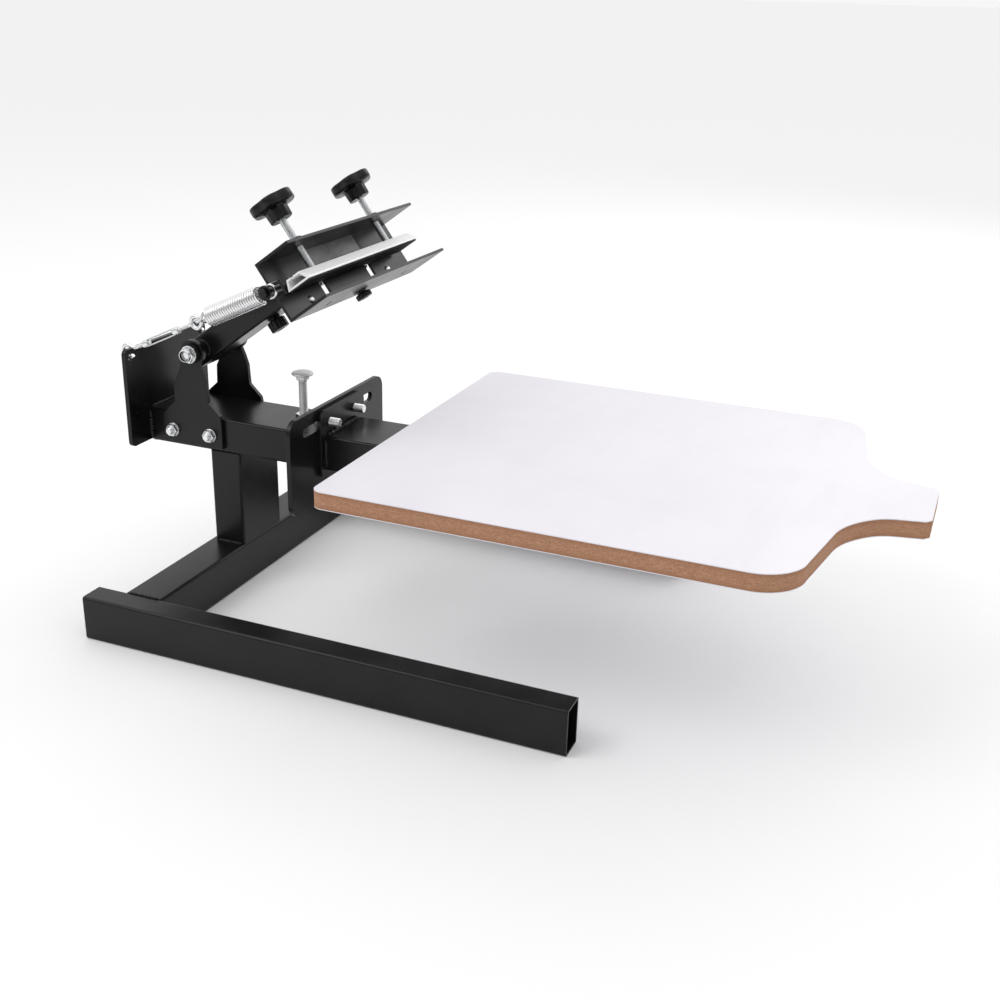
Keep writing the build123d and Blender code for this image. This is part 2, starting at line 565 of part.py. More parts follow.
def jaw_guides():
    """Screws with sleeves that run in the web's two slots and keep the bar square."""
    sleeve_r, disc_r = GUIDE_SLOT_WIDTH / 2 - 0.2, 9
    sleeve_rear, disc_rear, screw_rear = CHANNEL_REAR_U - 1, CHANNEL_REAR_U - 3, CHANNEL_REAR_U - 8
    outside = jaw_section(0)
    guides = []
    for side in (-1, 1):
        y = side * GUIDE_Y
        sleeve = rod((sleeve_rear, y, JAW_W), (PAD_REAR_U, y, JAW_W), sleeve_r) - outside
        screw = rod((screw_rear, y, JAW_W), (GUIDE_END_U, y, JAW_W), M6_R)
        disc = rod((disc_rear, y, JAW_W), (sleeve_rear, y, JAW_W), disc_r)
        guides.append(screw + sleeve + disc)
    return HEAD * Compound(children=guides)


def jaw_knob(side):
    return HEAD * (Pos(JAW_U, side * STUD_Y, 0) * star_knob(M8_R))


# ---- head: small locking screws ------------------------------------------------------------------
STUD_IN_KNOB = 3                # how far a stud stops short of its knob's outer face


def reach_lock_stud():
    tip = -ARM_HEIGHT / 2 + STEEL_WALL + STEM_GAP
    return HEAD * rod((LOCK_U, 0, LOCK_KNOB_W[0] + STUD_IN_KNOB), (LOCK_U, 0, tip), M8_R)


def ribbed_knob(u, w, radius, bore_r):
    """A small round knob with ten grooves down its side."""
    low, high = w
    knob = rod((u, 0, low), (u, 0, high), radius)
    grooves, groove_r = 10, radius * 0.16
    for k in range(grooves):
        a = 2 * pi * k / grooves
        x, y = u + radius * 1.06 * cos(a), radius * 1.06 * sin(a)
        knob -= rod((x, y, low - 1), (x, y, high + 1), groove_r)
    return HEAD * (knob - rod((u, 0, low + STUD_IN_KNOB), (u, 0, high + 1), bore_r))


def reach_lock_knob():
    return ribbed_knob(LOCK_U, LOCK_KNOB_W, LOCK_KNOB_R, M8_R)


def floor_stud():
    disc_low, disc_high = FLOOR_DISC_W
    stud = rod((FLOOR_SCREW_U, 0, FLOOR_KNOB_W[0] + STUD_IN_KNOB), (FLOOR_SCREW_U, 0, disc_low), M6_R)
    return HEAD * (stud + rod((FLOOR_SCREW_U, 0, disc_low), (FLOOR_SCREW_U, 0, disc_high), FLOOR_DISC_R))


def floor_knob():
    return ribbed_knob(FLOOR_SCREW_U, FLOOR_KNOB_W, FLOOR_KNOB_R, M6_R)


# ---- stop screw ----------------------------------------------------------------------------------
def stop_nut():
    return nut((STOP_X, 0, BEAM_TOP_Z), (STOP_X, 0, BEAM_TOP_Z + M10_NUT), M10_FLATS, M10_R + RUNNING)


def stop_screw():
    return rod((STOP_X, 0, BEAM_TOP_Z - 20), (STOP_X, 0, STOP_HEAD_Z), M10_R)


def stop_head():
    """A low domed head over a square neck; the screw's shaft ends inside it."""
    neck_z = (STOP_HEAD_Z - STOP_NECK, STOP_HEAD_Z)
    half = STOP_NECK_WIDTH / 2
    neck = block((STOP_X - half, STOP_X + half), (-half, half), neck_z)
    sphere_r = (STOP_HEAD_R ** 2 + STOP_DOME ** 2) / (2 * STOP_DOME)
    ball = Pos(STOP_X, 0, STOP_HEAD_Z + STOP_DOME - sphere_r) * Sphere(sphere_r)
    slab = block((STOP_X - sphere_r, STOP_X + sphere_r), (-sphere_r, sphere_r),
                 (STOP_HEAD_Z, STOP_HEAD_Z + 2 * STOP_DOME))
    shaft = rod((STOP_X, 0, BEAM_TOP_Z), (STOP_X, 0, STOP_HEAD_Z), M10_R)
    return neck + (ball & slab) - shaft


# ---- spring linkage ------------------------------------------------------------------------------
def arc_point(centre_t, radius, angle):
    a = radians(angle)
    return Vector(centre_t + radius * cos(a), 0, radius * sin(a))


def arc(centre_t, radius, start, end):
    points = [arc_point(centre_t, radius, a) for a in (start, (start + end) / 2, end)]
    return ThreePointArc(*points)


def leaving(angle):
    """The direction of travel on a circle at an angle, counting upwards."""
    a = radians(angle)
    return Vector(-sin(a), 0, cos(a))


def plate_hook(side):
    """The turnbuckle's rear hook: it curls over the spring plate's edge and back through a hole."""
    first, last = HOOK_CURL
    lead = HOOK_BEND_R + 6
    neck = Spline(Vector(lead, 0, 0), arc_point(0, HOOK_BEND_R, first), tangents=((-1, 0, 0), leaving(first)))
    hook = wire_path([neck, arc(0, HOOK_BEND_R, first, last)], WIRE_R)
    shank = rod((lead, 0, 0), (TURNBUCKLE[0] + ROD_IN_BODY, 0, 0), WIRE_R)
    return link_place(side) * (shank + hook)


def turnbuckle(side):
    """An open frame: a boss at each end joined by two side bars."""
    a, b = TURNBUCKLE
    bore = WIRE_R + RUNNING
    body = rod((a, 0, 0), (a + BOSS_LENGTH, 0, 0), BOSS_R) + rod((b - BOSS_LENGTH, 0, 0), (b, 0, 0), BOSS_R)
    for bar in (-1, 1):
        body += block((a + BOSS_LENGTH / 2, b - BOSS_LENGTH / 2), (-SIDE_BAR_HALF, SIDE_BAR_HALF),
                      sorted(bar * face for face in SIDE_BAR))
    return link_place(side) * (body - rod((a - 1, 0, 0), (b + 1, 0, 0), bore))


def spring_eye(side):
    ring = Pos(EYE_T, 0, 0) * Rot(90, 0, 0) * Torus(EYE_BEND_R, WIRE_R)
    shank = rod((TURNBUCKLE[1] - ROD_IN_BODY, 0, 0), (EYE_T - EYE_BEND_R, 0, 0), WIRE_R)
    return link_place(side) * (ring + shank)


def spring_coil(side):
    """Stands for the closed coil and its rear loop; the coil stretches as the head comes down."""
    a, b = COIL
    coil = washer((a, 0, 0), (b, 0, 0), COIL_R, COIL_R - 2 * SPRING_WIRE_R)
    end = rod((a, 0, 0), (a + COIL_END, 0, 0), COIL_R - SPRING_WIRE_R)
    loop_t = EYE_T + EYE_BEND_R - WIRE_R - SPRING_WIRE_R - LOOP_GAP
    starts = [Vector(a + 1, y, 0) for y in (-REAR_LOOP_R, REAR_LOOP_R)]
    bends = [Vector(loop_t + REAR_LOOP_R, y, 0) for y in (-REAR_LOOP_R, REAR_LOOP_R)]
    bend = ThreePointArc(bends[0], Vector(loop_t, 0, 0), bends[1])
    loop = wire_path([Line(starts[0], bends[0]), bend, Line(bends[1], starts[1])], SPRING_WIRE_R)
    return link_place(side) * (coil + end + loop)


def spring_cap(side):
    """A guide disc inside the coil's front end."""
    a, b = GUIDE_DISC
    outer_r = COIL_R - 2 * SPRING_WIRE_R - DISC_GAP
    return link_place(side) * washer((a, 0, 0), (b, 0, 0), outer_r, SPRING_WIRE_R + TAIL_PLAY)


def spring_hook(side):
    """The front hook: round the post on the arm, with a straight tail through the coil's guide disc."""
    first, last = SPRING_HOOK_CURL
    lead = LINK_LENGTH - SPRING_HOOK_R - 4
    start = arc_point(LINK_LENGTH, SPRING_HOOK_R, first)
    neck = Spline(Vector(lead, 0, 0), start, tangents=((1, 0, 0), -leaving(first)))
    hook = wire_path([neck, arc(LINK_LENGTH, SPRING_HOOK_R, first, last)], SPRING_WIRE_R)
    return link_place(side) * (rod((TAIL_START, 0, 0), (lead, 0, 0), SPRING_WIRE_R) + hook)


# ---- export --------------------------------------------------------------------------------------
RIGHT, LEFT = -1, 1
PARTS = {
    "right_foot": foot(RIGHT),
    "left_foot": foot(LEFT),
    "crossmember": crossmember(),
    "post": post(),
    "beam": beam(),
    "spring_plate": spring_plate(),
    "right_hinge_plate": hinge_plate(RIGHT),
    "left_hinge_plate": hinge_plate(LEFT),
    "hinge_plate_bolts": hinge_plate_bolts(),
    "hinge_plate_nuts": hinge_plate_nuts(),
    "pivot_bolt": pivot_bolt(),
    "pivot_spacers": pivot_spacers(),
    "pivot_nut": pivot_nut(),
    "mount_plate": mount_plate(),
    "stop_nut": stop_nut(),
    "stop_screw": stop_screw(),
    "stop_head": stop_head(),
    "pallet_bracket": pallet_bracket(),
    "pallet_arm": pallet_arm(),
    "pallet_bolts": pallet_bolts(),
    "pallet_washers": pallet_washers(),
    "pallet_underside": pallet_layer(BEAM_TOP_Z, BEAM_TOP_Z + LAMINATE),
    "pallet_board": pallet_layer(BEAM_TOP_Z + LAMINATE, PALLET_TOP_Z - LAMINATE),
    "pallet_face": pallet_layer(PALLET_TOP_Z - LAMINATE, PALLET_TOP_Z),
    "pallet_screws": pallet_screws(),
    "arm_tube": arm_tube(),
    "pivot_tube": pivot_tube(),
    "pivot_bushings": pivot_bushings(),
    "spring_posts": spring_posts(),
    "spring_post_nuts": spring_post_nuts(),
    "lock_boss": lock_boss(),
    "reach_stem": reach_stem(),
    "clamp_channel": clamp_channel(),
    "clamp_backing_plate": clamp_backing_plate(),
    "web_screws": web_screws(),
    "flange_nuts": flange_nuts(),
    "jaw_bar": jaw_bar(),
    "jaw_pad": jaw_pad(),
    "jaw_studs": jaw_studs(),
    "stud_clips": stud_clips(),
    "jaw_guides": jaw_guides(),
    "right_jaw_knob": jaw_knob(RIGHT),
    "left_jaw_knob": jaw_knob(LEFT),
    "reach_lock_stud": reach_lock_stud(),
    "reach_lock_knob": reach_lock_knob(),
    "floor_stud": floor_stud(),
    "floor_knob": floor_knob(),
}
for name, side in (("right", RIGHT), ("left", LEFT)):
    PARTS[f"{name}_plate_hook"] = plate_hook(side)
    PARTS[f"{name}_turnbuckle"] = turnbuckle(side)
    PARTS[f"{name}_spring_eye"] = spring_eye(side)
    PARTS[f"{name}_spring"] = spring_coil(side)
    PARTS[f"{name}_spring_cap"] = spring_cap(side)
    PARTS[f"{name}_spring_hook"] = spring_hook(side)

os.makedirs("parts", exist_ok=True)
for name, shape in PARTS.items():
    export_step(shape, f"parts/{name}.step")
print(len(PARTS), "parts; link angle", round(LINK_ANGLE, 3), "length", round(LINK_LENGTH, 3))
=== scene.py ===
"""Looks for the tabletop screen printing press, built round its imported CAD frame."""
import json
from math import cos, pi, radians, sin, tau
from random import Random
import bmesh
import bpy
from mathutils import Matrix, Vector


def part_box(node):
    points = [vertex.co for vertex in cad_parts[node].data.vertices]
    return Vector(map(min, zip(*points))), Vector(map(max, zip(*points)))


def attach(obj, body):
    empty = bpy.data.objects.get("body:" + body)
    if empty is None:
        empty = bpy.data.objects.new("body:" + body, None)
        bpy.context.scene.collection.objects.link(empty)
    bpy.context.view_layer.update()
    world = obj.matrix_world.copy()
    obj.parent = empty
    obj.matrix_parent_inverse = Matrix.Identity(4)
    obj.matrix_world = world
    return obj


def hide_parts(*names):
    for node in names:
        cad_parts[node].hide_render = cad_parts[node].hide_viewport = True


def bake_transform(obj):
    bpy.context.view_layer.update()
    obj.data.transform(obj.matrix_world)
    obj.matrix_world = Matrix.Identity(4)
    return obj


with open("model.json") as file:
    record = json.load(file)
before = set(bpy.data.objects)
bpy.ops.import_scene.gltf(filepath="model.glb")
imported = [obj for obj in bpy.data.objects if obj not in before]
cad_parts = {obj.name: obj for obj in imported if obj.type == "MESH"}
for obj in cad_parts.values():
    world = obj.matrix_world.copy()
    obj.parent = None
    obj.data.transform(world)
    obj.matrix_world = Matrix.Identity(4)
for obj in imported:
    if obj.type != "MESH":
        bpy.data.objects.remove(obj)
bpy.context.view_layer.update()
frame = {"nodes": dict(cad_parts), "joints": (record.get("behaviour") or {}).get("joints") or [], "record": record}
NODES = frame["nodes"]
JOINTS = {joint["name"]: joint for joint in frame["joints"]}
SIDES = (("right", -1), ("left", 1))
MM = 0.001
ALONG_Y = Vector((0, 1, 0))

# metric fasteners: thread radius, thread pitch, hexagon across flats
M5 = 2.5 * MM, 0.8 * MM, 8 * MM
M6 = 3 * MM, 1 * MM, 10 * MM
M8 = 4 * MM, 1.25 * MM, 13 * MM
M10 = 5 * MM, 1.5 * MM, 16 * MM
M8_WASHER_R, M10_WASHER_R = 8 * MM, 10 * MM
NUT_CLEARANCE = 0.05 * MM
WELD_SHARP, WIRE_SHARP, GRIP_SHARP = 70, 60, 40


# ---- places: each is a matrix whose columns are three axes and an origin ----------------------------
def place_from(origin, x_axis, z_axis):
    x, z = Vector(x_axis).normalized(), Vector(z_axis).normalized()
    y = z.cross(x)
    columns = Matrix((x, y, z)).transposed().to_4x4()
    return Matrix.Translation(Vector(origin)) @ columns


def aimed(place, point, axis):
    """A place at a local point of another place, with its Z along a local axis."""
    z = (place.to_3x3() @ Vector(axis)).normalized()
    helper = place.to_3x3() @ Vector((0, 1, 0))
    if abs(helper.dot(z)) > 0.9:
        helper = place.to_3x3() @ Vector((1, 0, 0))
    return place_from(place @ Vector(point), helper.cross(z), z)


ROW = Matrix.Identity(4)
PRESS_DOWN = Vector(JOINTS["jaw_close"]["axis"])
HEAD = place_from(JOINTS["head_lift"]["pos_m"], JOINTS["reach"]["axis"], -PRESS_DOWN)
LINK = {}
for side, sign in SIDES:
    along = Vector(JOINTS[f"{side}_turnbuckle_turn"]["axis"])
    LINK[side] = place_from(JOINTS[f"{side}_link_swing"]["pos_m"], along, along.cross(ALONG_Y))


def local_box(node, place=ROW):
    """A CAD node's low and high corners, measured in a place's own axes."""
    inverse = place.inverted()
    points = [inverse @ v.co for v in NODES[node].data.vertices]
    low = Vector([min(p[k] for p in points) for k in range(3)])
    high = Vector([max(p[k] for p in points) for k in range(3)])
    return low, high


# ---- mesh building: a shape is a list of points and a list of faces ---------------------------------
class Shape:
    def __init__(self):
        self.points, self.faces = [], []

    def add(self, points, faces, place=ROW):
        first = len(self.points)
        self.points += [place @ Vector(p) for p in points]
        self.faces += [[first + i for i in face] for face in faces]
        return self

    def rings(self, rings, place=ROW, loop=False):
        """Joins rings of equal length with quads; the ends are capped unless the rings form a loop."""
        count = len(rings[0])
        points = [p for ring in rings for p in ring]
        faces = []
        for i in range(len(rings) if loop else len(rings) - 1):
            a, b = i * count, (i + 1) % len(rings) * count
            faces += [[a + k, a + (k + 1) % count, b + (k + 1) % count, b + k] for k in range(count)]
        if not loop:
            faces.append(list(range(count))[::-1])
            faces.append([len(points) - count + k for k in range(count)])
        return self.add(points, faces, place)

    def turned(self, profile, place=ROW, steps=48, bored=False):
        """Turns a profile round local Z; an entry is (radius, z) or a function of the angle giving them."""
        rings = []
        for entry in profile:
            ring = []
            for k in range(steps):
                a = tau * k / steps
                r, z = entry(a) if callable(entry) else entry
                ring.append((r * cos(a), r * sin(a), z))
            rings.append(ring)
        return self.rings(rings, place, loop=bored)

    def wire(self, path, radius, place=ROW, sides=12, loop=False):
        """A round wire along a path; radius is a number or a function of the share of the path."""
        path = [Vector(p) for p in path]
        n = len(path)
        tangents = []
        for i in range(n):
            before, after = (i - 1, (i + 1) % n) if loop else (max(i - 1, 0), min(i + 1, n - 1))
            before, after = path[before], path[after]
            tangents.append((after - before).normalized())
        normal = tangents[0].orthogonal().normalized()
        rings = []
        for i, (p, t) in enumerate(zip(path, tangents)):
            normal = (normal - normal.dot(t) * t).normalized()
            side_way = t.cross(normal)
            r = radius(i / (n - 1)) if callable(radius) else radius
            rings.append([p + r * (cos(tau * k / sides) * normal + sin(tau * k / sides) * side_way)
                          for k in range(sides)])
        return self.rings(rings, place, loop)


def hexagon_radius(across_flats):
    """The hexagon's radius at an angle."""
    def radius(angle):
        turn = (angle + pi / 6) % (pi / 3) - pi / 6
        return across_flats / 2 / cos(turn)
    return radius


def hexagon(shape, place, across_flats, low, high, bore=0.0, chamfer_low=True, chamfer_high=True):
    """A nut or bolt head with the usual cone-cut corners."""
    radius = hexagon_radius(across_flats)
    end_share, cone_fall = 0.94, 0.5
    circle = across_flats / 2 * end_share

    def corner(z, way):
        return lambda a: (radius(a), z + way * (radius(a) - circle) * cone_fall)

    def flat(z):
        return lambda a: (radius(a), z)

    profile = [(circle, low), corner(low, 1)] if chamfer_low else [flat(low)]
    profile += [corner(high, -1), (circle, high)] if chamfer_high else [flat(high)]
    if bore:
        lead = 0.4 * MM
        profile += [(bore + lead, high), (bore, high - lead), (bore, low + lead), (bore + lead, low)]
    return shape.turned(profile, place, steps=72, bored=bool(bore))


def washer(shape, place, outer, bore, low, high):
    edge = 0.25 * MM
    profile = [(outer - edge, low), (outer, low + edge), (outer, high - edge), (outer - edge, high),
               (bore + edge, high), (bore, high - edge), (bore, low + edge), (bore + edge, low)]
    return shape.turned(profile, place, bored=True)


def thread(shape, place, radius, pitch, low, high, steps=30):
    """A right-handed thread cut into a rod, with a chamfered run-out at both ends."""
    depth, rings_per_turn, valley_slope = 0.6 * pitch, 8, 2.35
    count = max(2, round((high - low) / pitch * rings_per_turn))
    rings = []
    for i in range(count + 1):
        z = low + (high - low) * i / count
        from_end = min(z - low, high - z)
        crest_limit = radius - max(0.0, depth - from_end)
        ring = []
        for k in range(steps):
            a = tau * k / steps
            phase = (z / pitch - a / tau) % 1
            valley = max(0.0, 1 - abs(phase - 0.5) * valley_slope)
            r = min(radius - depth * valley, crest_limit)
            ring.append((r * cos(a), r * sin(a), z))
        rings.append(ring)
    return shape.rings(rings, place)


def arc_points(centre, radius, start, end, steps=24):
    """Points of an arc in the XZ plane; angles in degrees."""
    points = []
    for i in range(steps + 1):
        a = radians(start + (end - start) * i / steps)
        points.append((centre + radius * cos(a), 0, radius * sin(a)))
    return points


def smooth_curve(a, a_way, b, b_way, steps=12):
    """A curve from a to b that leaves along a_way and arrives along b_way."""
    a, b = Vector(a), Vector(b)
    pull = (b - a).length
    a_way, b_way = Vector(a_way).normalized() * pull, Vector(b_way).normalized() * pull
    points = []
    for i in range(steps + 1):
        t = i / steps
        points.append((2 * t ** 3 - 3 * t ** 2 + 1) * a + (t ** 3 - 2 * t ** 2 + t) * a_way
                      + (3 * t ** 2 - 2 * t ** 3) * b + (t ** 3 - t ** 2) * b_way)
    return points


def piece(name, shape, material, body=None, stands_for=(), sharp=32):
    """Makes one mesh object in the row frame, rides it on a body and hides the CAD nodes it stands for.
    Edges sharper than sharp degrees are shaded as corners."""
    mesh = bpy.data.meshes.new(name)
    mesh.from_pydata(shape.points, [], shape.faces)
    work = bmesh.new()
    work.from_mesh(mesh)
    bmesh.ops.recalc_face_normals(work, faces=work.faces)
    work.to_mesh(mesh)
    work.free()
    mesh.shade_smooth()
    mesh.set_sharp_from_angle(angle=radians(sharp))
    mesh.materials.append(material)
    obj = bpy.data.objects.new(name, mesh)
    bpy.context.scene.collection.objects.link(obj)
    if body:
        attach(obj, body)
    if stands_for:
        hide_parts(*stands_for)
    return obj


# ---- materials ---------------------------------------------------------------------------------------
MIX_COLOUR_A, MIX_COLOUR_B, MIX_COLOUR_OUT = 6, 7, 2    # the Mix node's sockets for colours
BEVEL_SAMPLES = 6


class Nodes:
    """A short way to write a node tree: add() makes a node and sets or links its inputs."""

    def __init__(self, name, slot):
        self.material = bpy.data.materials.new(name)
        self.material.use_nodes = True
        self.material["slot"] = slot
        self.tree = self.material.node_tree
        self.shader = self.tree.nodes["Principled BSDF"]
        self.where = self.add("ShaderNodeTexCoord").outputs["Object"]

    def add(self, kind, settings=(), **inputs):
        node = self.tree.nodes.new(kind)
        for key, value in dict(settings).items():
            setattr(node, key, value)
        for key, value in inputs.items():
            self.put(node.inputs[key.replace("_", " ")], value)
        return node

    def put(self, socket, value):
        if isinstance(value, bpy.types.NodeSocket):
            self.tree.links.new(value, socket)
        else:
            socket.default_value = value

    def set(self, **inputs):
        for key, value in inputs.items():
            self.put(self.shader.inputs[key.replace("_", " ")], value)

    def noise(self, scale, detail=3.0, rough=0.5, stretch=(1, 1, 1)):
        """Noise with about scale cells to the metre, drawn out where stretch is small."""
        mapping = self.add("ShaderNodeMapping", Vector=self.where, Scale=stretch)
        node = self.add("ShaderNodeTexNoise", Vector=mapping.outputs["Vector"], Scale=scale, Detail=detail,
                        Roughness=rough)
        return node.outputs["Fac"]

    def ramp(self, value, low, high, start=0.3, end=0.7):
        """Maps a value's range from start to end onto low to high."""
        node = self.add("ShaderNodeMapRange", Value=value)
        node.inputs["From Min"].default_value = start
        node.inputs["From Max"].default_value = end
        node.inputs["To Min"].default_value = low
        node.inputs["To Max"].default_value = high
        return node.outputs["Result"]

    def spread(self, value, start=0.3, end=0.7):
        """Stretches a noise's middle range over 0 to 1."""
        return self.ramp(value, 0.0, 1.0, start, end)

    def mix(self, share, a, b):
        """Blends two colours; each is three numbers or a socket."""
        node = self.tree.nodes.new("ShaderNodeMix")
        node.data_type = "RGBA"
        self.put(node.inputs["Factor"], share)
        for socket, colour in ((MIX_COLOUR_A, a), (MIX_COLOUR_B, b)):
            is_socket = isinstance(colour, bpy.types.NodeSocket)
            self.put(node.inputs[socket], colour if is_socket else (*colour, 1))
        return node.outputs[MIX_COLOUR_OUT]

    def maths(self, operation, a, b=0.0):
        node = self.tree.nodes.new("ShaderNodeMath")
        node.operation = operation
        self.put(node.inputs[0], a)
        self.put(node.inputs[1], b)
        return node.outputs[0]

    def rounded_normal(self, radius):
        return self.add("ShaderNodeBevel", {"samples": BEVEL_SAMPLES}, Radius=radius).outputs["Normal"]

    def edge_share(self, radius):
        """1 on a corner, 0 on flat stretches: how far the rounded normal leans from the face's own."""
        rounded = self.rounded_normal(radius)
        flat = self.add("ShaderNodeNewGeometry").outputs["Normal"]
        dot = self.tree.nodes.new("ShaderNodeVectorMath")
        dot.operation = "DOT_PRODUCT"
        self.put(dot.inputs[0], rounded)
        self.put(dot.inputs[1], flat)
        leaning, flush = 0.72, 0.97
        return self.ramp(dot.outputs["Value"], 1.0, 0.0, leaning, flush)

    def bump(self, height, strength, distance, normal=None):
        node = self.add("ShaderNodeBump", Height=height, Strength=strength, Distance=distance)
        if normal is not None:
            self.put(node.inputs["Normal"], normal)
        self.put(self.shader.inputs["Normal"], node.outputs["Normal"])

    def blend(self, a, b, share):
        """A share of a added to the rest of b."""
        rest = round(1 - share, 3)
        return self.maths("ADD", self.maths("MULTIPLY", a, share), self.maths("MULTIPLY", b, rest))


def powder_coat(name="black_powder", corner=0.7 * MM):
    """Satin black powder: an orange-peel skin, cloudy gloss, and corners lightened, partly as rubbed paint and
    partly as a painted edge highlight.
    """
    n = Nodes(name, "black_powder_coat")
    cloud = n.noise(22, 4)
    peel = n.noise(620, 2)
    grain = n.noise(2600, 1)
    # corner mask: partly rubbed paint, partly a painted edge highlight lightening every edge
    wear_and_edge_highlight = n.maths("MULTIPLY", n.edge_share(corner), n.spread(n.noise(90, 5, 0.6), 0.42, 0.62))
    base = n.mix(n.spread(cloud), (0.0035, 0.0035, 0.0038), (0.0075, 0.0075, 0.008))
    # the pale grey on corners is rubbed paint plus a painted edge highlight
    n.set(Base_Color=n.mix(wear_and_edge_highlight, base, (0.055, 0.055, 0.058)))
    n.set(Roughness=n.ramp(cloud, 0.27, 0.34), Specular_IOR_Level=0.3)
    n.bump(n.blend(peel, grain, 0.8), 0.16, 0.18 * MM, n.rounded_normal(corner))
    return n.material


def zinc(name="bright_zinc", slot="zinc_plated_steel", tint=(0.8, 0.81, 0.82), rough=(0.24, 0.38)):
    """Bright metal with cloudy gloss, hairline tool marks and small dull spots."""
    n = Nodes(name, slot)
    cloud = n.noise(140, 4, 0.6)
    marks = n.noise(900, 2, 0.5, (1, 0.15, 1))
    dull = tuple(c * 0.72 for c in tint)
    spots = n.spread(n.noise(420, 3, 0.7), 0.6, 0.72)
    n.set(Metallic=1.0, Base_Color=n.mix(spots, tint, dull))
    n.set(Roughness=n.ramp(n.blend(cloud, marks, 0.7), *rough))
    n.bump(marks, 0.08, 0.05 * MM, n.rounded_normal(0.3 * MM))
    return n.material


def rolled_steel():
    """Bare hot-rolled strip: dark grey scale with paler rubbed patches."""
    n = Nodes("rolled_steel", "rolled_steel")
    cloud = n.noise(60, 5, 0.65, (1, 0.35, 1))
    n.set(Metallic=0.85, Base_Color=n.mix(n.spread(cloud), (0.1, 0.1, 0.103), (0.19, 0.19, 0.195)))
    n.set(Roughness=n.ramp(cloud, 0.5, 0.38))
    n.bump(n.noise(700, 3, 0.6), 0.1, 0.06 * MM, n.rounded_normal(0.4 * MM))
    return n.material


def aluminium():
    """A pale anodised extrusion: a satin skin with long die lines along Y and a few scuffs."""
    n = Nodes("extruded_aluminium", "plain_aluminium")
    lines = n.noise(1500, 2, 0.5, (1, 0.012, 1))
    scuff = n.spread(n.noise(180, 5, 0.65), 0.55, 0.7)
    n.set(Metallic=0.1, Base_Color=n.mix(scuff, (0.97, 0.97, 0.97), (0.9, 0.905, 0.91)))
    n.set(Roughness=n.ramp(lines, 0.36, 0.5), Anisotropic=0.35)
    n.bump(lines, 0.12, 0.05 * MM, n.rounded_normal(0.35 * MM))
    return n.material


def moulded_black(name, slot, rough=(0.26, 0.36), corner=0.6 * MM):
    """Moulded plastic: fine spark-eroded grain, with the corners polished by hands."""
    n = Nodes(name, slot)
    grain = n.noise(3000, 2, 0.6)
    cloud = n.noise(60, 3)
    edge = n.edge_share(corner)
    n.set(Base_Color=n.mix(n.spread(cloud), (0.003, 0.003, 0.0033), (0.006, 0.006, 0.0064)))
    n.set(Roughness=n.maths("SUBTRACT", n.ramp(grain, *rough), n.maths("MULTIPLY", edge, 0.1)))
    n.set(Specular_IOR_Level=0.3)
    n.bump(grain, 0.2, 0.09 * MM, n.rounded_normal(corner))
    return n.material


def rubber():
    """Matt black sheet rubber with a pebbled skin."""
    n = Nodes("sheet_rubber", "black_rubber")
    pebble = n.noise(1400, 2, 0.5)
    n.set(Base_Color=n.mix(n.noise(80, 4), (0.012, 0.012, 0.012), (0.03, 0.03, 0.029)))
    n.set(Roughness=n.ramp(pebble, 0.72, 0.9))
    n.bump(pebble, 0.35, 0.15 * MM)
    return n.material


def nylon():
    """Natural nylon: milky and slightly waxy, with a fine grain."""
    n = Nodes("natural_nylon", "white_nylon")
    grain = n.noise(1600, 1)
    n.set(Base_Color=n.mix(n.noise(70, 3), (0.72, 0.7, 0.63), (0.82, 0.81, 0.76)))
    n.set(Roughness=n.ramp(grain, 0.38, 0.52), Subsurface_Weight=0.15, Subsurface_Scale=1 * MM)
    n.bump(grain, 0.1, 0.05 * MM)
    return n.material


def laminate():
    """The board's skins: smooth pale laminate with a faint lilac cast, fine peel and faint rub marks."""
    n = Nodes("pale_board_skin", "pale_laminate")
    cloud = n.noise(7, 4, 0.55)
    fine = n.noise(1800, 2, 0.5)
    rub = n.spread(n.noise(26, 6, 0.7, (1, 0.25, 1)), 0.5, 0.75)
    base = n.mix(n.spread(cloud), (0.765, 0.735, 0.795), (0.81, 0.785, 0.835))
    n.set(Base_Color=n.mix(n.maths("MULTIPLY", rub, 0.25), base, (0.72, 0.7, 0.75)))
    n.set(Roughness=n.ramp(n.blend(fine, rub, 0.4), 0.34, 0.5, 0.1, 0.9))
    n.bump(fine, 0.06, 0.06 * MM, n.rounded_normal(0.4 * MM))
    return n.material


def fibreboard():
    """The board's cut edge: brown fibre, denser and darker towards both faces, with saw marks."""
    n = Nodes("fibreboard_edge", "fibreboard")
    low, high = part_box("pallet_board")
    height = n.add("ShaderNodeSeparateXYZ", Vector=n.where).outputs["Z"]
    depth = n.spread(height, low.z, high.z)
    from_middle = n.maths("ABSOLUTE", n.maths("SUBTRACT", depth, 0.5))
    dense = n.spread(from_middle, 0.2, 0.5)
    fibre = n.noise(700, 6, 0.75, (1, 1, 2))
    clump = n.noise(150, 4, 0.6, (1, 1, 3))
    saw = n.noise(420, 2, 0.5, (1, 1, 0.06))
    light = n.mix(n.spread(clump), (0.46, 0.24, 0.14), (0.62, 0.37, 0.235))
    core = n.mix(n.spread(fibre, 0.35, 0.65), (0.3, 0.14, 0.075), light)
    n.set(Base_Color=n.mix(n.maths("MULTIPLY", dense, 0.65), core, (0.31, 0.145, 0.075)))
    n.set(Roughness=n.ramp(fibre, 0.68, 0.86), Specular_IOR_Level=0.3)
    n.bump(n.blend(fibre, saw, 0.7), 0.4, 0.25 * MM, n.rounded_normal(0.8 * MM))
    return n.material


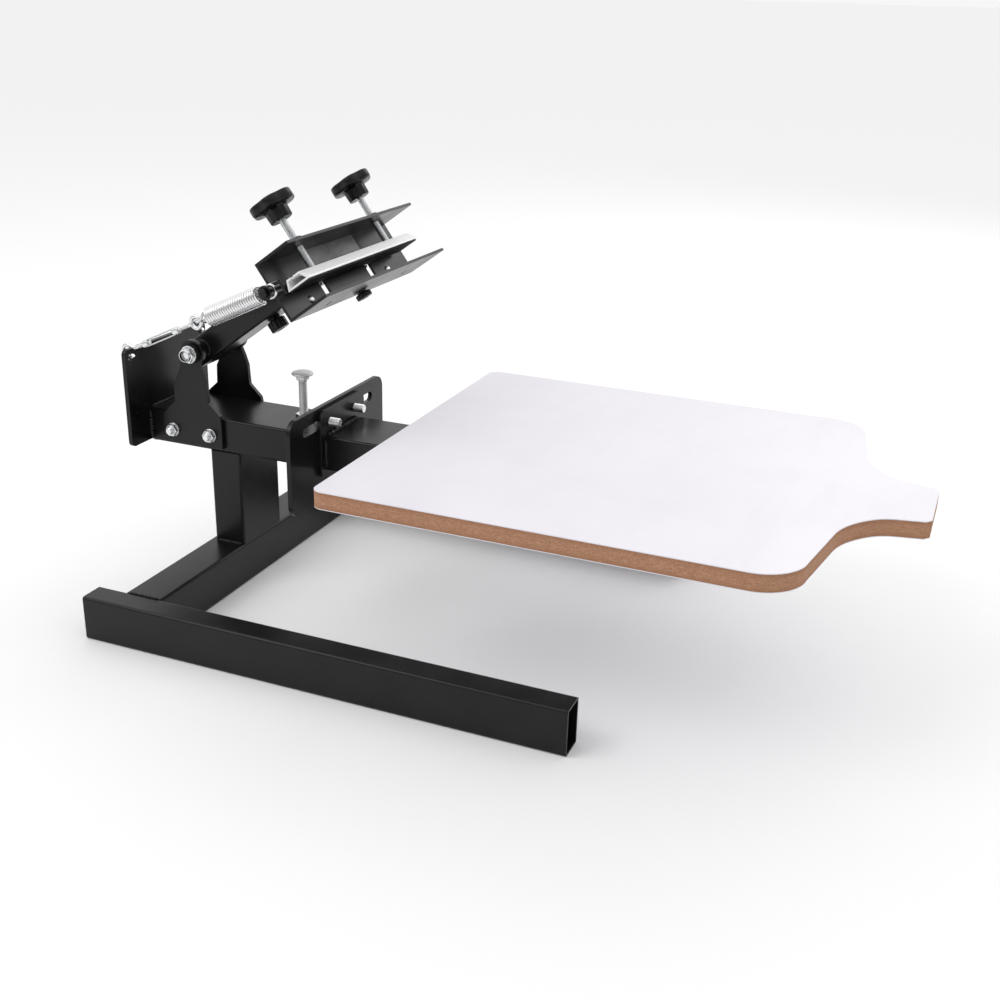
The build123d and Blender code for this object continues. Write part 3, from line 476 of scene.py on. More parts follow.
POWDER = powder_coat()
WELD = powder_coat("painted_weld", 0.2 * MM)
ZINC = zinc()
DULL_ZINC = zinc("dull_zinc", tint=(0.72, 0.72, 0.72), rough=(0.5, 0.62))
WIRE = zinc("drawn_wire", "bright_spring_wire", (0.86, 0.86, 0.87), (0.16, 0.28))
ALUMINIUM = aluminium()
KNOB = moulded_black("black_knob_plastic", "black_knob_plastic")
SPACER = moulded_black("black_nylon", "black_nylon", (0.4, 0.55), 0.3 * MM)
RUBBER = rubber()
STEEL = rolled_steel()
NYLON = nylon()
SKIN = laminate()
FIBRE = fibreboard()
BY_SLOT = {"black_powder_coat": POWDER, "zinc_plated_steel": ZINC, "bright_spring_wire": WIRE,
           "plain_aluminium": ALUMINIUM, "black_knob_plastic": KNOB, "black_rubber": RUBBER,
           "white_nylon": NYLON, "black_nylon": SPACER, "pale_laminate": SKIN,
           "fibreboard": FIBRE, "rolled_steel": STEEL}


def finish_cad_nodes():
    """Every CAD node keeps its mesh and takes the procedural material of its slot."""
    for entry in frame["record"]["subparts"]:
        node = NODES[entry["node"]]
        node.data.materials.clear()
        node.data.materials.append(BY_SLOT[entry["material_slot"]])


# ---- hinge and beam fasteners ------------------------------------------------------------------------
def hinge_bolts():
    """Two through bolts with heads on the left, nuts and washers on the right."""
    low, high = local_box("hinge_plate_bolts")
    face = local_box("left_hinge_plate")[1].y
    nut_end = -local_box("hinge_plate_nuts")[0].y
    radius, pitch, flats = M8
    washer_thick, collar_r, collar_rise = 1.6 * MM, 5.6 * MM, 1.8 * MM
    bolts, nuts = Shape(), Shape()
    for x in (low.x + flats / 2, high.x - flats / 2):
        place = aimed(ROW, (x, 0, (low.z + high.z) / 2), (0, -1, 0))
        hexagon(bolts, place, flats, -high.y, -face - washer_thick, chamfer_high=False)
        bolts.turned([(radius, -face - washer_thick), (radius, face)], place)
        thread(bolts, place, radius, pitch, face, -low.y)
        for way in (-1, 1):
            near, far = sorted((way * face, way * (face + washer_thick)))
            washer(nuts, place, M8_WASHER_R, radius, near, far)
        hex_top = nut_end - collar_rise
        hexagon(nuts, place, flats, face + washer_thick, hex_top, bore=radius)
        collar = [(collar_r, hex_top), (collar_r, hex_top + 1 * MM), (5.0 * MM, nut_end),
                  (radius + 0.3 * MM, nut_end), (radius, hex_top)]
        nuts.turned(collar, place, bored=True)
    piece("hinge_bolts_threaded", bolts, ZINC, "stand", ["hinge_plate_bolts"])
    piece("hinge_lock_nuts", nuts, ZINC, "stand", ["hinge_plate_nuts"])


def pivot_fasteners():
    """The head's pivot bolt: a hexagon head on the left, a lock nut with its plastic ring on the right."""
    low, high = local_box("pivot_bolt")
    nut_low, nut_high = local_box("pivot_nut")
    face = local_box("pivot_spacers")[1].y
    x, _, z = JOINTS["head_lift"]["pos_m"]
    place = aimed(ROW, (x, 0, z), (0, -1, 0))
    radius, pitch, flats = M10
    washer_thick = nut_high.y - face
    thread_start, end = face - 2 * MM, -nut_low.y
    hex_top = end - 3.2 * MM
    collar_r, ring_r = 7.2 * MM, 5.9 * MM
    bolt, nut, ring = Shape(), Shape(), Shape()
    hexagon(bolt, place, flats, -high.y, -face - washer_thick, chamfer_high=False)
    bolt.turned([(radius, -face - washer_thick), (radius, thread_start)], place)
    thread(bolt, place, radius, pitch, thread_start, min(-low.y, hex_top - 0.4 * MM))
    for way in (-1, 1):
        near, far = sorted((way * face, way * (face + washer_thick)))
        washer(nut, place, M10_WASHER_R, radius, near, far)
    hexagon(nut, place, flats, face + washer_thick, hex_top, bore=radius)
    collar = [(collar_r, hex_top), (collar_r, end - 1 * MM), (6.6 * MM, end), (ring_r, end - 0.2 * MM),
              (ring_r, hex_top)]
    nut.turned(collar, place, bored=True)
    washer(ring, place, ring_r, radius + NUT_CLEARANCE, hex_top, end - 0.8 * MM)
    piece("pivot_bolt_threaded", bolt, ZINC, "stand", ["pivot_bolt"])
    piece("pivot_lock_nut", nut, ZINC, "stand", ["pivot_nut"])
    piece("pivot_lock_ring", ring, SPACER, "stand")


def stop_screw():
    """A coach bolt standing on the beam; the head lands on its low dome."""
    low, high = local_box("stop_screw")
    head_low, head_high = local_box("stop_head")
    nut_low, nut_high = local_box("stop_nut")
    centre = (low + high) / 2
    place = aimed(ROW, (centre.x, centre.y, 0), (0, 0, 1))
    radius, head_r = (high.x - low.x) / 2, (head_high.x - head_low.x) / 2
    _, pitch, flats = M10
    thread_top, neck_low, rim, soft = high.z - 7 * MM, head_low.z, 1.4 * MM, 0.8 * MM
    shaft, head, nut = Shape(), Shape(), Shape()
    thread(shaft, place, radius, pitch, low.z, thread_top)
    shaft.turned([(radius, thread_top), (radius, high.z)], place)
    rise = head_high.z - high.z - rim
    dome = []
    steps = 10
    for i in range(steps + 1):
        a = pi / 2 * i / steps
        dome.append((max(head_r * cos(a), 0.02 * MM), high.z + rim + rise * sin(a)))
    profile = [(radius, high.z), (head_r - soft, high.z), (head_r - 0.1 * MM, high.z + 0.7 * MM)] + dome
    head.turned(profile, place, steps=64)
    half_square, corner_share = 11.5 * MM / 2, 1.28

    def square_ring(inset, z):
        def at(angle):
            turn = (angle + pi / 4) % (pi / 2) - pi / 4
            return min((half_square - inset) / cos(turn), half_square * corner_share - inset), z
        return at

    neck = [(radius, neck_low), square_ring(soft, neck_low), square_ring(0, neck_low + soft),
            square_ring(0, high.z), (radius, high.z)]
    head.turned(neck, place, steps=64, bored=True)
    hexagon(nut, place, flats, nut_low.z, nut_high.z, bore=radius + NUT_CLEARANCE)
    piece("stop_screw_threaded", shaft, DULL_ZINC, "stop_shaft", ["stop_screw"])
    piece("stop_screw_dome", head, DULL_ZINC, "stop_cap", ["stop_head"])
    piece("stop_lock_nut", nut, ZINC, "stand", ["stop_nut"])


def pallet_bolts():
    """The two bolts that hold the pallet's bracket against the slotted plate."""
    low, high = local_box("pallet_bolts")
    washer_low, washer_high = local_box("pallet_washers")
    radius, pitch, flats = M10
    thread_start = local_box("pallet_bracket")[1].x - 1 * MM
    plate_gap = 0.05 * MM
    bolts, washers = Shape(), Shape()
    for y in (low.y + flats / 2, high.y - flats / 2):
        place = aimed(ROW, (0, y, (low.z + high.z) / 2), (1, 0, 0))
        hexagon(bolts, place, flats, low.x, washer_low.x, chamfer_high=False)
        bolts.turned([(radius, washer_low.x), (radius, thread_start)], place)
        thread(bolts, place, radius, pitch, thread_start, high.x)
        washer(washers, place, M10_WASHER_R, radius, washer_low.x, washer_high.x - plate_gap)
    piece("pallet_bolts_threaded", bolts, ZINC, "pallet_carrier", ["pallet_bolts"])
    piece("pallet_bolt_washers", washers, ZINC, "pallet_carrier", ["pallet_washers"])


# ---- head --------------------------------------------------------------------------------------------
def lobed_knob(shape, place, low, hub_top, high, hub_r, cap_r, bore):
    """A clamping knob: a hub with shallow flutes under a cap with soft lobes."""
    lobes, dip, dip_power, flute = 6, 0.1, 1.4, 0.03

    def cap(radius, z):
        def at(angle):
            between = (1 - cos(lobes * angle)) / 2
            return radius * (1 - dip * between ** dip_power), z
        return at

    def hub(radius, z):
        return lambda angle: (radius * (1 - flute * (1 + cos(2 * lobes * angle)) / 2), z)

    soft = 2.4 * MM
    profile = [(bore, low), (hub_r - 0.9 * MM, low), hub(hub_r, low + 0.9 * MM),
               hub(hub_r + 0.5 * MM, hub_top - 2 * MM), cap(hub_r + 3 * MM, hub_top),
               cap(cap_r - soft, hub_top + 0.3 * MM), cap(cap_r - 0.8 * MM, hub_top + 1.1 * MM),
               cap(cap_r, hub_top + soft), cap(cap_r, high - soft), cap(cap_r - 0.7 * MM, high - 0.9 * MM),
               cap(cap_r - soft, high - 0.15 * MM), cap(cap_r - 2 * soft, high),
               (hub_r + 1.5 * MM, high), (hub_r + 0.6 * MM, high - 1.2 * MM),
               (hub_r - 0.6 * MM, high - 1.4 * MM), (0.3 * MM, high - 1.1 * MM)]
    return shape.turned(profile, place, steps=144)


def jaw_knobs():
    """The two large knobs that wind the jaw down."""
    hub_height, hub_r = 13 * MM, 12.5 * MM
    bore = M8[0]
    for side, _ in SIDES:
        node = f"{side}_jaw_knob"
        low, high = local_box(node, HEAD)
        centre = (low + high) / 2
        place = aimed(HEAD, (centre.x, centre.y, 0), (0, 0, 1))
        shape = Shape()
        lobed_knob(shape, place, low.z, low.z + hub_height, high.z, hub_r, (high.x - low.x) / 2, bore)
        piece(f"{side}_clamp_knob", shape, KNOB, f"{side}_jaw_grip", [node], sharp=GRIP_SHARP)


def jaw_studs():
    """The two threaded studs that push the jaw bar down, and the nuts they run in."""
    low, high = local_box("jaw_studs", HEAD)
    bar_high = local_box("jaw_bar", HEAD)[1]
    nut_low, nut_high = local_box("flange_nuts", HEAD)
    radius, pitch, flats = M8
    tip_r = 2.8 * MM
    studs, nuts = Shape(), Shape()
    for y in (low.y + radius, high.y - radius):
        place = aimed(HEAD, ((low.x + high.x) / 2, y, 0), (0, 0, 1))
        studs.turned([(tip_r, low.z), (tip_r, bar_high.z)], place)
        thread(studs, place, radius, pitch, bar_high.z, high.z)
        hexagon(nuts, place, flats, nut_low.z, nut_high.z, bore=radius + NUT_CLEARANCE, chamfer_low=False)
    piece("jaw_studs_threaded", studs, ZINC, "jaw", ["jaw_studs"])
    piece("flange_weld_nuts", nuts, POWDER, "clamp", ["flange_nuts"])


def jaw_guides():
    """Screws with sleeves that keep the jaw square in the web's slots."""
    low, high = local_box("jaw_guides", HEAD)
    radius, pitch, flats = M6
    disc_r, sleeve_r = 9 * MM, 5.8 * MM
    web_rear = local_box("clamp_channel", HEAD)[0].x
    jaw_rear = local_box("jaw_bar", HEAD)[0].x
    disc_front = web_rear - 1 * MM
    disc_rear = web_rear - 3 * MM
    shape = Shape()
    for y in (low.y + disc_r, high.y - disc_r):
        place = aimed(HEAD, (0, y, (low.z + high.z) / 2), (1, 0, 0))
        shape.turned([(sleeve_r, disc_front), (sleeve_r, jaw_rear + 2.5 * MM)], place)
        washer(shape, place, disc_r, radius, disc_rear, disc_front)
        hexagon(shape, place, flats, low.x + 1.2 * MM, disc_rear, bore=radius)
        thread(shape, place, radius, pitch, low.x, disc_front, steps=24)
        shape.turned([(radius, jaw_rear), (radius, high.x)], place)
    piece("jaw_guide_screws", shape, ZINC, "jaw", ["jaw_guides"])


def web_screws():
    """Two pan-head screws through the channel's web."""
    low, high = local_box("web_screws", HEAD)
    web_rear = local_box("clamp_channel", HEAD)[0].x
    web_front = web_rear + 3 * MM
    rise = high.x - web_front
    radius, pitch, flats = M5
    head_r, nut_thick, steps = 4.2 * MM, 4 * MM, 6
    dome = []
    for i in range(steps + 1):
        a = pi / 2 * i / steps
        dome.append((head_r * cos(a) + 0.3 * MM, web_front + rise * sin(a)))
    shape = Shape()
    for y in (low.y + head_r, high.y - head_r):
        place = aimed(HEAD, (0, y, (low.z + high.z) / 2), (1, 0, 0))
        shape.turned([(radius, web_front)] + dome, place, steps=36)
        thread(shape, place, radius, pitch, low.x, web_rear, steps=24)
        shape.turned([(radius, web_rear), (radius, web_front)], place)
        hexagon(shape, place, flats, web_rear - nut_thick, web_rear, bore=radius, chamfer_high=False)
    piece("web_pan_screws", shape, ZINC, "clamp", ["web_screws"])


def ribbed_grip(shape, place, low, high, radius, bore):
    """A small moulded knob with grip ribs round it."""
    ribs, rib_share, rib_power = 10, 0.1, 0.5
    soft = 0.8 * MM

    def rim(inset, z):
        def at(angle):
            wave = abs(cos(ribs * angle / 2)) ** rib_power
            return (radius - inset) * (1 - rib_share + rib_share * wave), z
        return at

    profile = [(bore, high), (radius * 0.62, high), (radius * 0.66, high - 1 * MM),
               rim(soft, high - 1.2 * MM), rim(0, high - 2 * MM), rim(0, low + soft), rim(soft, low),
               (radius * 0.5, low),
               (radius * 0.45, low + 0.6 * MM), (0.3 * MM, low + 0.5 * MM)]
    return shape.turned(profile[::-1], place, steps=120)


def small_knobs():
    """The reach lock under the arm and the thumb screw under the clamp's floor."""
    grip_bore, pad_thick = 3 * MM, 2 * MM
    for knob, grip_body, stud, stud_body, pitch in (
            ("reach_lock_knob", "reach_lock_grip", "reach_lock_stud", "reach_lock", M8[1]),
            ("floor_knob", "floor_screw_grip", "floor_stud", "floor_screw", M6[1])):
        low, high = local_box(knob, HEAD)
        stud_low, stud_high = local_box(stud, HEAD)
        centre = (low + high) / 2
        place = aimed(HEAD, (centre.x, centre.y, 0), (0, 0, 1))
        grip, screw = Shape(), Shape()
        ribbed_grip(grip, place, low.z, high.z, (high.y - low.y) / 2, grip_bore)
        piece(f"{knob}_ribbed", grip, KNOB, grip_body, [knob], sharp=GRIP_SHARP)
        widest = (stud_high.y - stud_low.y) / 2
        if stud == "floor_stud":
            radius, pad_low = M6[0], stud_high.z - pad_thick
            washer(screw, place, widest, radius, pad_low, stud_high.z)
            screw.turned([(radius, pad_low), (radius, stud_high.z - 0.2 * MM)], place)
            thread(screw, place, radius, pitch, stud_low.z, pad_low, steps=24)
        else:
            thread(screw, place, widest, pitch, stud_low.z, stud_high.z)
        piece(f"{stud}_threaded", screw, ZINC, stud_body, [stud])


def spring_posts():
    """Painted pins on both sides of the arm, each locked by a nut and kept by a washer."""
    low, high = local_box("spring_posts", HEAD)
    washer_top = local_box("spring_post_nuts", HEAD)[1].y
    arm_side = local_box("arm_tube", HEAD)[1].y
    radius, pitch, flats = M8
    centre = (low + high) / 2
    shank_r, nut_thick, washer_thick = radius * 0.96, 6.5 * MM, 1.5 * MM
    head_r, head_low, head_top = 5 * MM, high.y - 4 * MM, high.y
    pins, nuts = Shape(), Shape()
    for _, sign in SIDES:
        place = aimed(HEAD, (centre.x, 0, centre.z), (0, sign, 0))
        thread(pins, place, radius, pitch, arm_side - 2.5 * MM, arm_side + 12 * MM)
        pins.turned([(shank_r, arm_side + 11 * MM), (shank_r, head_low)], place)
        pins.turned([(4.6 * MM, head_low), (head_r, head_low + 0.5 * MM), (head_r, head_top - 2.2 * MM),
                     (4.2 * MM, head_top - 1.5 * MM)], place)
        hexagon(nuts, place, flats, arm_side, arm_side + nut_thick, bore=radius)
        washer(nuts, place, M8_WASHER_R, radius, washer_top - washer_thick, washer_top)
    piece("spring_post_pins", pins, POWDER, "arm", ["spring_posts"])
    piece("spring_post_lock_nuts", nuts, POWDER, "arm", ["spring_post_nuts"])


# ---- springs and turnbuckles ---------------------------------------------------------------------------
ROD_R, ROD_PITCH = 2.25 * MM, 0.8 * MM    # the turnbuckle's rods
CAD_WIRE_R = 1.6 * MM                     # the wire radius that the CAD spring was drawn with


def plate_hooks():
    """The turnbuckle's rear rod: a threaded shank, then a hook over the spring plate's top edge."""
    arc_start, arc_end = 50, 300
    thread_length = 18.5 * MM
    for side, _ in SIDES:
        node = f"{side}_plate_hook"
        place = LINK[side]
        low, high = local_box(node, place)
        bend_r = -low.x - ROD_R
        lead = bend_r + 6 * MM
        angle = radians(arc_start)
        first = (bend_r * cos(angle), 0, bend_r * sin(angle))
        bend = smooth_curve((lead, 0, 0), (-1, 0, 0), first, (-sin(angle), 0, cos(angle)))
        path = [(high.x - 18 * MM, 0, 0)] + bend + arc_points(0, bend_r, arc_start, arc_end, 36)[1:]
        shape = Shape()
        shape.wire(path, ROD_R, place, sides=16)
        axis = aimed(place, (0, 0, 0), (1, 0, 0))
        thread(shape, axis, ROD_R, ROD_PITCH, high.x - thread_length, high.x, steps=24)
        piece(f"{side}_hook_rod", shape, ZINC, f"{side}_link", [node])


def spring_eyes():
    """The turnbuckle's front rod: a threaded shank ending in a closed eye for the spring."""
    ring_start, ring_end, neck_swell = 183, 534, 0.15
    for side, _ in SIDES:
        node = f"{side}_spring_eye"
        place = LINK[side]
        low, high = local_box(node, place)
        ring_r = high.z - ROD_R
        centre = high.x - ROD_R - ring_r
        shape = Shape()
        shape.wire(arc_points(centre, ring_r, ring_start, ring_end, 48), ROD_R, place, sides=16)
        neck = [(centre - ring_r + way, 0, 0) for way in (-4 * MM, -1 * MM, 0.5 * MM)]
        shape.wire(neck, lambda share: ROD_R * (1 + neck_swell * share), place, sides=16)
        axis = aimed(place, (0, 0, 0), (1, 0, 0))
        thread(shape, axis, ROD_R, ROD_PITCH, low.x, centre - ring_r - 4 * MM, steps=24)
        piece(f"{side}_eye_rod", shape, ZINC, f"{side}_link", [node])


def turnbuckles():
    """A forged open frame: two bosses joined by two flat bars that swell into them."""
    outer, bore, boss, soft = 4.4 * MM, ROD_R + NUT_CLEARANCE, 8 * MM, 0.8 * MM
    bar_offset, bar_half_width, bar_half_thick, bar_inset = 3.5 * MM, 1.9 * MM, 0.9 * MM, 5 * MM
    steps, sides = 20, 16
    for side, _ in SIDES:
        node = f"{side}_turnbuckle"
        place = LINK[side]
        low, high = local_box(node, place)
        shape = Shape()
        axis = aimed(place, (0, 0, 0), (1, 0, 0))
        for a, b in ((low.x, low.x + boss), (high.x - boss, high.x)):
            profile = [(outer - soft, a), (outer, a + soft), (outer, b - soft), (outer - soft, b),
                       (bore, b), (bore, a)]
            shape.turned(profile, axis, steps=40, bored=True)
        for way in (-1, 1):
            rings = []
            for i in range(steps + 1):
                x = low.x + bar_inset + (high.x - low.x - 2 * bar_inset) * (i / steps)
                swell = 1 + 0.5 * abs(2 * i / steps - 1) ** 6
                ring = []
                for k in range(sides):
                    a = tau * k / sides
                    y = bar_half_width * swell * cos(a)
                    ring.append((x, y, way * bar_offset + bar_half_thick * sin(a)))
                rings.append(ring)
            shape.rings(rings, place)
        piece(f"{side}_turnbuckle_frame", shape, ZINC, f"{side}_link_body", [node])


def coil_path(start, end, radius_at, turns, per_turn=28):
    """Points of a coil along local X; radius_at gives the radius at a share of the way."""
    path = []
    count = round(turns * per_turn)
    for i in range(count + 1):
        share = i / count
        a = tau * turns * share
        r = radius_at(share)
        path.append((start + (end - start) * share, r * sin(a), r * cos(a)))
    return path


def springs():
    """Close-wound extension springs: a rear loop through the eye, the coil, and a front end that curls in."""
    wire_r, pitch, length, loop_r, loop_steps = 1.5 * MM, 3.2 * MM, 76 * MM, 6 * MM, 20
    inner_r, curl_wire_r, curl_turns = 2.9 * MM, 0.8 * MM, 2.2
    for side, _ in SIDES:
        place = LINK[side]
        low, high = local_box(f"{side}_spring", place)
        coil_r = high.z - wire_r
        start, end = high.x - length + wire_r, high.x - wire_r
        turns = (end - start) / pitch
        coil = coil_path(start, end, lambda share: coil_r, turns)
        turn_x = low.x + CAD_WIRE_R + loop_r
        loop = []
        for k in range(loop_steps + 1):
            a = tau * k / (2 * loop_steps)
            loop.append((turn_x - loop_r * sin(a), loop_r * cos(a), 0))
        rise = smooth_curve((start, 0, coil_r), (0, -1, 0), loop[-1], (-1, 0, 0), 16)
        path = list(reversed(coil)) + [tuple(p) for p in rise[1:]] + list(reversed(loop))[1:]
        path.append((turn_x + 2 * MM, loop_r * 0.9, 0))
        shape = Shape()
        shape.wire(path, wire_r, place, sides=12)
        obj = piece(f"{side}_spring_coil", shape, WIRE, None, [f"{side}_spring"], sharp=WIRE_SHARP)
        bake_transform(obj)
        disc_low, disc_high = local_box(f"{side}_spring_cap", place)
        outer_r = disc_high.z - CAD_WIRE_R / 2
        middle = (disc_low.x + disc_high.x) / 2
        curl = coil_path(middle - curl_wire_r, middle + curl_wire_r,
                         lambda share: outer_r + (inner_r - outer_r) * share, curl_turns)
        ends = Shape()
        ends.wire(curl, curl_wire_r, place, sides=10)
        piece(f"{side}_spring_end_turns", ends, WIRE, f"{side}_coil_end", [f"{side}_spring_cap"],
              sharp=WIRE_SHARP)


# ---- welds ---------------------------------------------------------------------------------------------
def uneven(random, count):
    """Random widths, 15% either side of 1."""
    return [0.85 + 0.3 * random.random() for _ in range(count)]


def bead(shape, start, end, size, seed, ripple=2.1 * MM, lumps=0.14):
    """A hand-laid fillet weld: overlapping ripples of slightly uneven width along an inside corner."""
    random = Random(seed)
    start, end = Vector(start), Vector(end)
    samples, end_width, wander = 5, 0.45, 0.12
    count = max(2, round((end - start).length / ripple))
    swell = uneven(random, count + 1)
    path, radii = [], []
    way = (end - start).normalized()
    across = way.orthogonal().normalized()
    for i in range(count * samples + 1):
        share = i / (count * samples)
        cell, inside = divmod(i, samples)
        wave = 1 - lumps + lumps * sin(pi * inside / samples)
        taper = min(1.0, end_width + 2.2 * min(share, 1 - share) * count / 6)
        radii.append(size * wave * swell[min(cell, count)] * taper)
        path.append(start.lerp(end, share) + across * (random.random() - 0.5) * size * wander)
    shape.wire(path, lambda share: radii[min(round(share * (len(radii) - 1)), len(radii) - 1)], sides=10)


def stand_welds():
    """Fillet welds of the stand: feet to crossmember, post, beam and the two end plates."""
    cross_low, cross_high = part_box("crossmember")
    post_low, post_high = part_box("post")
    beam_low, beam_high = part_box("beam")
    plate_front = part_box("spring_plate")[1].x
    mount_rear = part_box("mount_plate")[0].x
    size, inset = 2.6 * MM, 4 * MM
    shape = Shape()
    seed = 1
    for _, sign in SIDES:
        y = sign * cross_high.y
        for x in (cross_low.x, cross_high.x):
            bead(shape, (x, y, cross_low.z + inset), (x, y, cross_high.z - inset), size, seed)
            seed += 1
        bead(shape, (cross_low.x + inset, y, cross_high.z), (cross_high.x - inset, y, cross_high.z),
             size * 0.7, seed)
        bead(shape, (post_low.x + inset, sign * post_high.y, post_low.z),
             (post_high.x - inset, sign * post_high.y, post_low.z), size, seed + 1)
        bead(shape, (plate_front, sign * beam_high.y, beam_low.z + inset),
             (plate_front, sign * beam_high.y, beam_high.z - inset), size * 1.6, seed + 2, 4 * MM, 0.3)
        bead(shape, (mount_rear, sign * beam_high.y, beam_low.z + inset),
             (mount_rear, sign * beam_high.y, beam_high.z - inset), size, seed + 3)
        seed += 4
    for x in (post_low.x, post_high.x):
        bead(shape, (x, post_low.y + inset, post_high.z), (x, post_high.y - inset, post_high.z),
             size * 0.9, seed)
        seed += 1
    bead(shape, (post_low.x, post_low.y + inset, post_low.z), (post_low.x, post_high.y - inset, post_low.z),
         size, seed)
    for x in (plate_front, mount_rear):
        for z in (beam_low.z, beam_high.z):
            bead(shape, (x, beam_low.y + inset, z), (x, beam_high.y - inset, z), size, seed + 1)
            seed += 1
    piece("stand_weld_beads", shape, WELD, "stand", sharp=WELD_SHARP)


def pallet_weld():
    """The heavy bead along the top of the pallet arm's joint, with lighter ones round the other sides."""
    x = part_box("pallet_bracket")[1].x
    low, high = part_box("pallet_arm")
    size, heavy_size, heavy_ripple, heavy_lumps = 2.4 * MM, 4.8 * MM, 4.6 * MM, 0.38
    shape = Shape()
    bead(shape, (x, low.y + 5 * MM, high.z), (x, high.y - 5 * MM, high.z), heavy_size, 41, heavy_ripple,
         heavy_lumps)
    for y, seed in ((low.y, 49), (high.y, 51)):
        bead(shape, (x, y, low.z + 4 * MM), (x, y, high.z - 4 * MM), size, seed)
    bead(shape, (x, low.y + 6 * MM, low.z), (x, high.y - 6 * MM, low.z), size, 53)
    piece("pallet_weld_beads", shape, WELD, "pallet_carrier", sharp=WELD_SHARP)


def head_welds():
    """Beads where the stem meets the clamp's web and where the pivot tube crosses the arm."""
    low, high = local_box("reach_stem", HEAD)
    clamp_size, inset = 2.2 * MM, 3 * MM
    clamp = Shape()
    x = high.x
    for y, z, seed in ((low.y, low.z, 0), (high.y, high.z, 2)):
        a, b = HEAD @ Vector((x, low.y + inset, z)), HEAD @ Vector((x, high.y - inset, z))
        bead(clamp, a, b, clamp_size, 59 + seed)
        a, b = HEAD @ Vector((x, y, low.z + inset)), HEAD @ Vector((x, y, high.z - inset))
        bead(clamp, a, b, clamp_size, 63 + seed)
    piece("clamp_weld_beads", clamp, WELD, "clamp", sharp=WELD_SHARP)
    arm = Shape()
    arm_low, arm_high = local_box("arm_tube", HEAD)
    radius, arm_size, steps = local_box("pivot_tube", HEAD)[1].z, 1.7 * MM, 60
    for y, seed in ((arm_low.y, 69), (arm_high.y, 71)):
        ring = []
        for k in range(steps):
            a = tau * k / steps
            ring.append(HEAD @ Vector((radius * cos(a), y, radius * sin(a))))
        widths = [arm_size * width for width in uneven(Random(seed), steps)]
        arm.wire(ring, lambda share: widths[int(share * (steps - 1))], sides=10, loop=True)
    piece("arm_weld_beads", arm, WELD, "arm", sharp=WELD_SHARP)


# ---- floor, light and camera -----------------------------------------------------------------------------
def floor():
    """A plain pale sheet, 300 m wide so that its edge is the horizon, with a trace of its own light."""
    mesh = bpy.data.meshes.new("floor")
    half = 150.0
    corners = [(-half, -half, 0), (half, -half, 0), (half, half, 0), (-half, half, 0)]
    mesh.from_pydata(corners, [], [(0, 1, 2, 3)])
    obj = bpy.data.objects.new("floor", mesh)
    bpy.context.scene.collection.objects.link(obj)
    paper = bpy.data.materials.new("pale_paper")
    paper.use_nodes = True
    shader = paper.node_tree.nodes["Principled BSDF"]
    for socket, value in (("Base Color", (0.9, 0.9, 0.9, 1)), ("Roughness", 0.9), ("Specular IOR Level", 0.0),
                          ("Emission Color", (1, 1, 1, 1)), ("Emission Strength", 0.06)):
        shader.inputs[socket].default_value = value
    mesh.materials.append(paper)


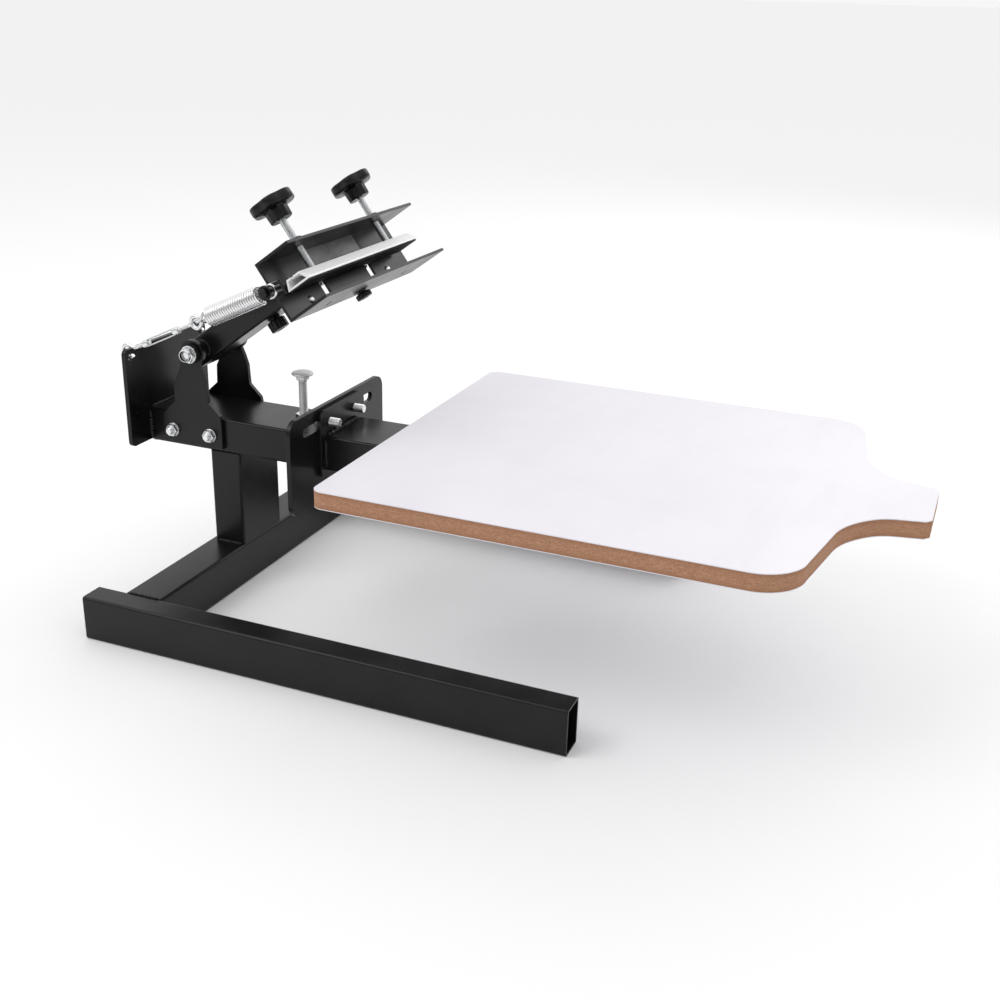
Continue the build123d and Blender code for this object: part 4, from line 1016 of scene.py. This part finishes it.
def sky():
    """Soft light all round, brightest overhead; the camera itself sees an even pale sky."""
    brightest = Vector((-0.12, 0.35, 0.93)).normalized()
    seen_strength = 0.93
    world = bpy.data.worlds.new("studio")
    world.use_nodes = True
    tree = world.node_tree
    direction = tree.nodes.new("ShaderNodeTexCoord").outputs["Generated"]
    dot = tree.nodes.new("ShaderNodeVectorMath")
    dot.operation = "DOT_PRODUCT"
    dot.inputs[1].default_value = brightest
    tree.links.new(direction, dot.inputs[0])
    ramp = tree.nodes.new("ShaderNodeMapRange")
    ramp.interpolation_type = "SMOOTHSTEP"
    for socket, value in (("From Min", -0.35), ("From Max", 0.75), ("To Min", 0.3), ("To Max", 1.02)):
        ramp.inputs[socket].default_value = value
    tree.links.new(dot.outputs["Value"], ramp.inputs["Value"])
    seen = tree.nodes.new("ShaderNodeMix")
    tree.links.new(tree.nodes.new("ShaderNodeLightPath").outputs["Is Camera Ray"], seen.inputs["Factor"])
    tree.links.new(ramp.outputs["Result"], seen.inputs["A"])
    seen.inputs["B"].default_value = seen_strength
    tree.nodes["Background"].inputs["Color"].default_value = (1, 1, 1, 1)
    tree.links.new(seen.outputs["Result"], tree.nodes["Background"].inputs["Strength"])
    bpy.context.scene.world = world


def lamps():
    """Two weak area lamps, aimed at the middle of the press, that give the metal its highlights."""
    target = Vector((0.3, 0, 0.2))
    for name, place, size, power in (("key", (-1.1, -1.5, 2.3), 1.4, 16), ("rear", (0.9, 2.2, 1.9), 1.8, 12)):
        lamp = bpy.data.lights.new(name, "AREA")
        lamp.size = size
        lamp.energy = power
        obj = bpy.data.objects.new(name, lamp)
        obj.location = place
        obj.rotation_euler = (target - Vector(place)).to_track_quat("-Z", "Y").to_euler()
        bpy.context.scene.collection.objects.link(obj)


def camera():
    """A 45 mm lens off the right front corner, looking down at the board, as fitted to the photograph."""
    place = (0.79803, -1.18696, 0.66469)
    azimuth, elevation, roll = radians(21.72), radians(22.08), radians(1.6)
    back = Vector((sin(azimuth) * cos(elevation), -cos(azimuth) * cos(elevation), sin(elevation)))
    right = Vector((cos(azimuth), sin(azimuth), 0))
    up = back.cross(right)
    x_axis = cos(roll) * right + sin(roll) * up
    data = bpy.data.cameras.new("camera")
    data.sensor_width = 36
    data.lens = 45.49
    data.clip_start = 0.01
    obj = bpy.data.objects.new("camera", data)
    obj.matrix_world = place_from(place, x_axis, back)
    bpy.context.scene.collection.objects.link(obj)
    bpy.context.scene.camera = obj


for build in (finish_cad_nodes, hinge_bolts, pivot_fasteners, stop_screw, pallet_bolts, jaw_knobs,
              jaw_studs, jaw_guides, web_screws, small_knobs, spring_posts, plate_hooks, spring_eyes,
              turnbuckles, springs, stand_welds, pallet_weld, head_welds, floor, sky, lamps, camera):
    build()
bpy.context.scene.view_settings.view_transform = "Standard"
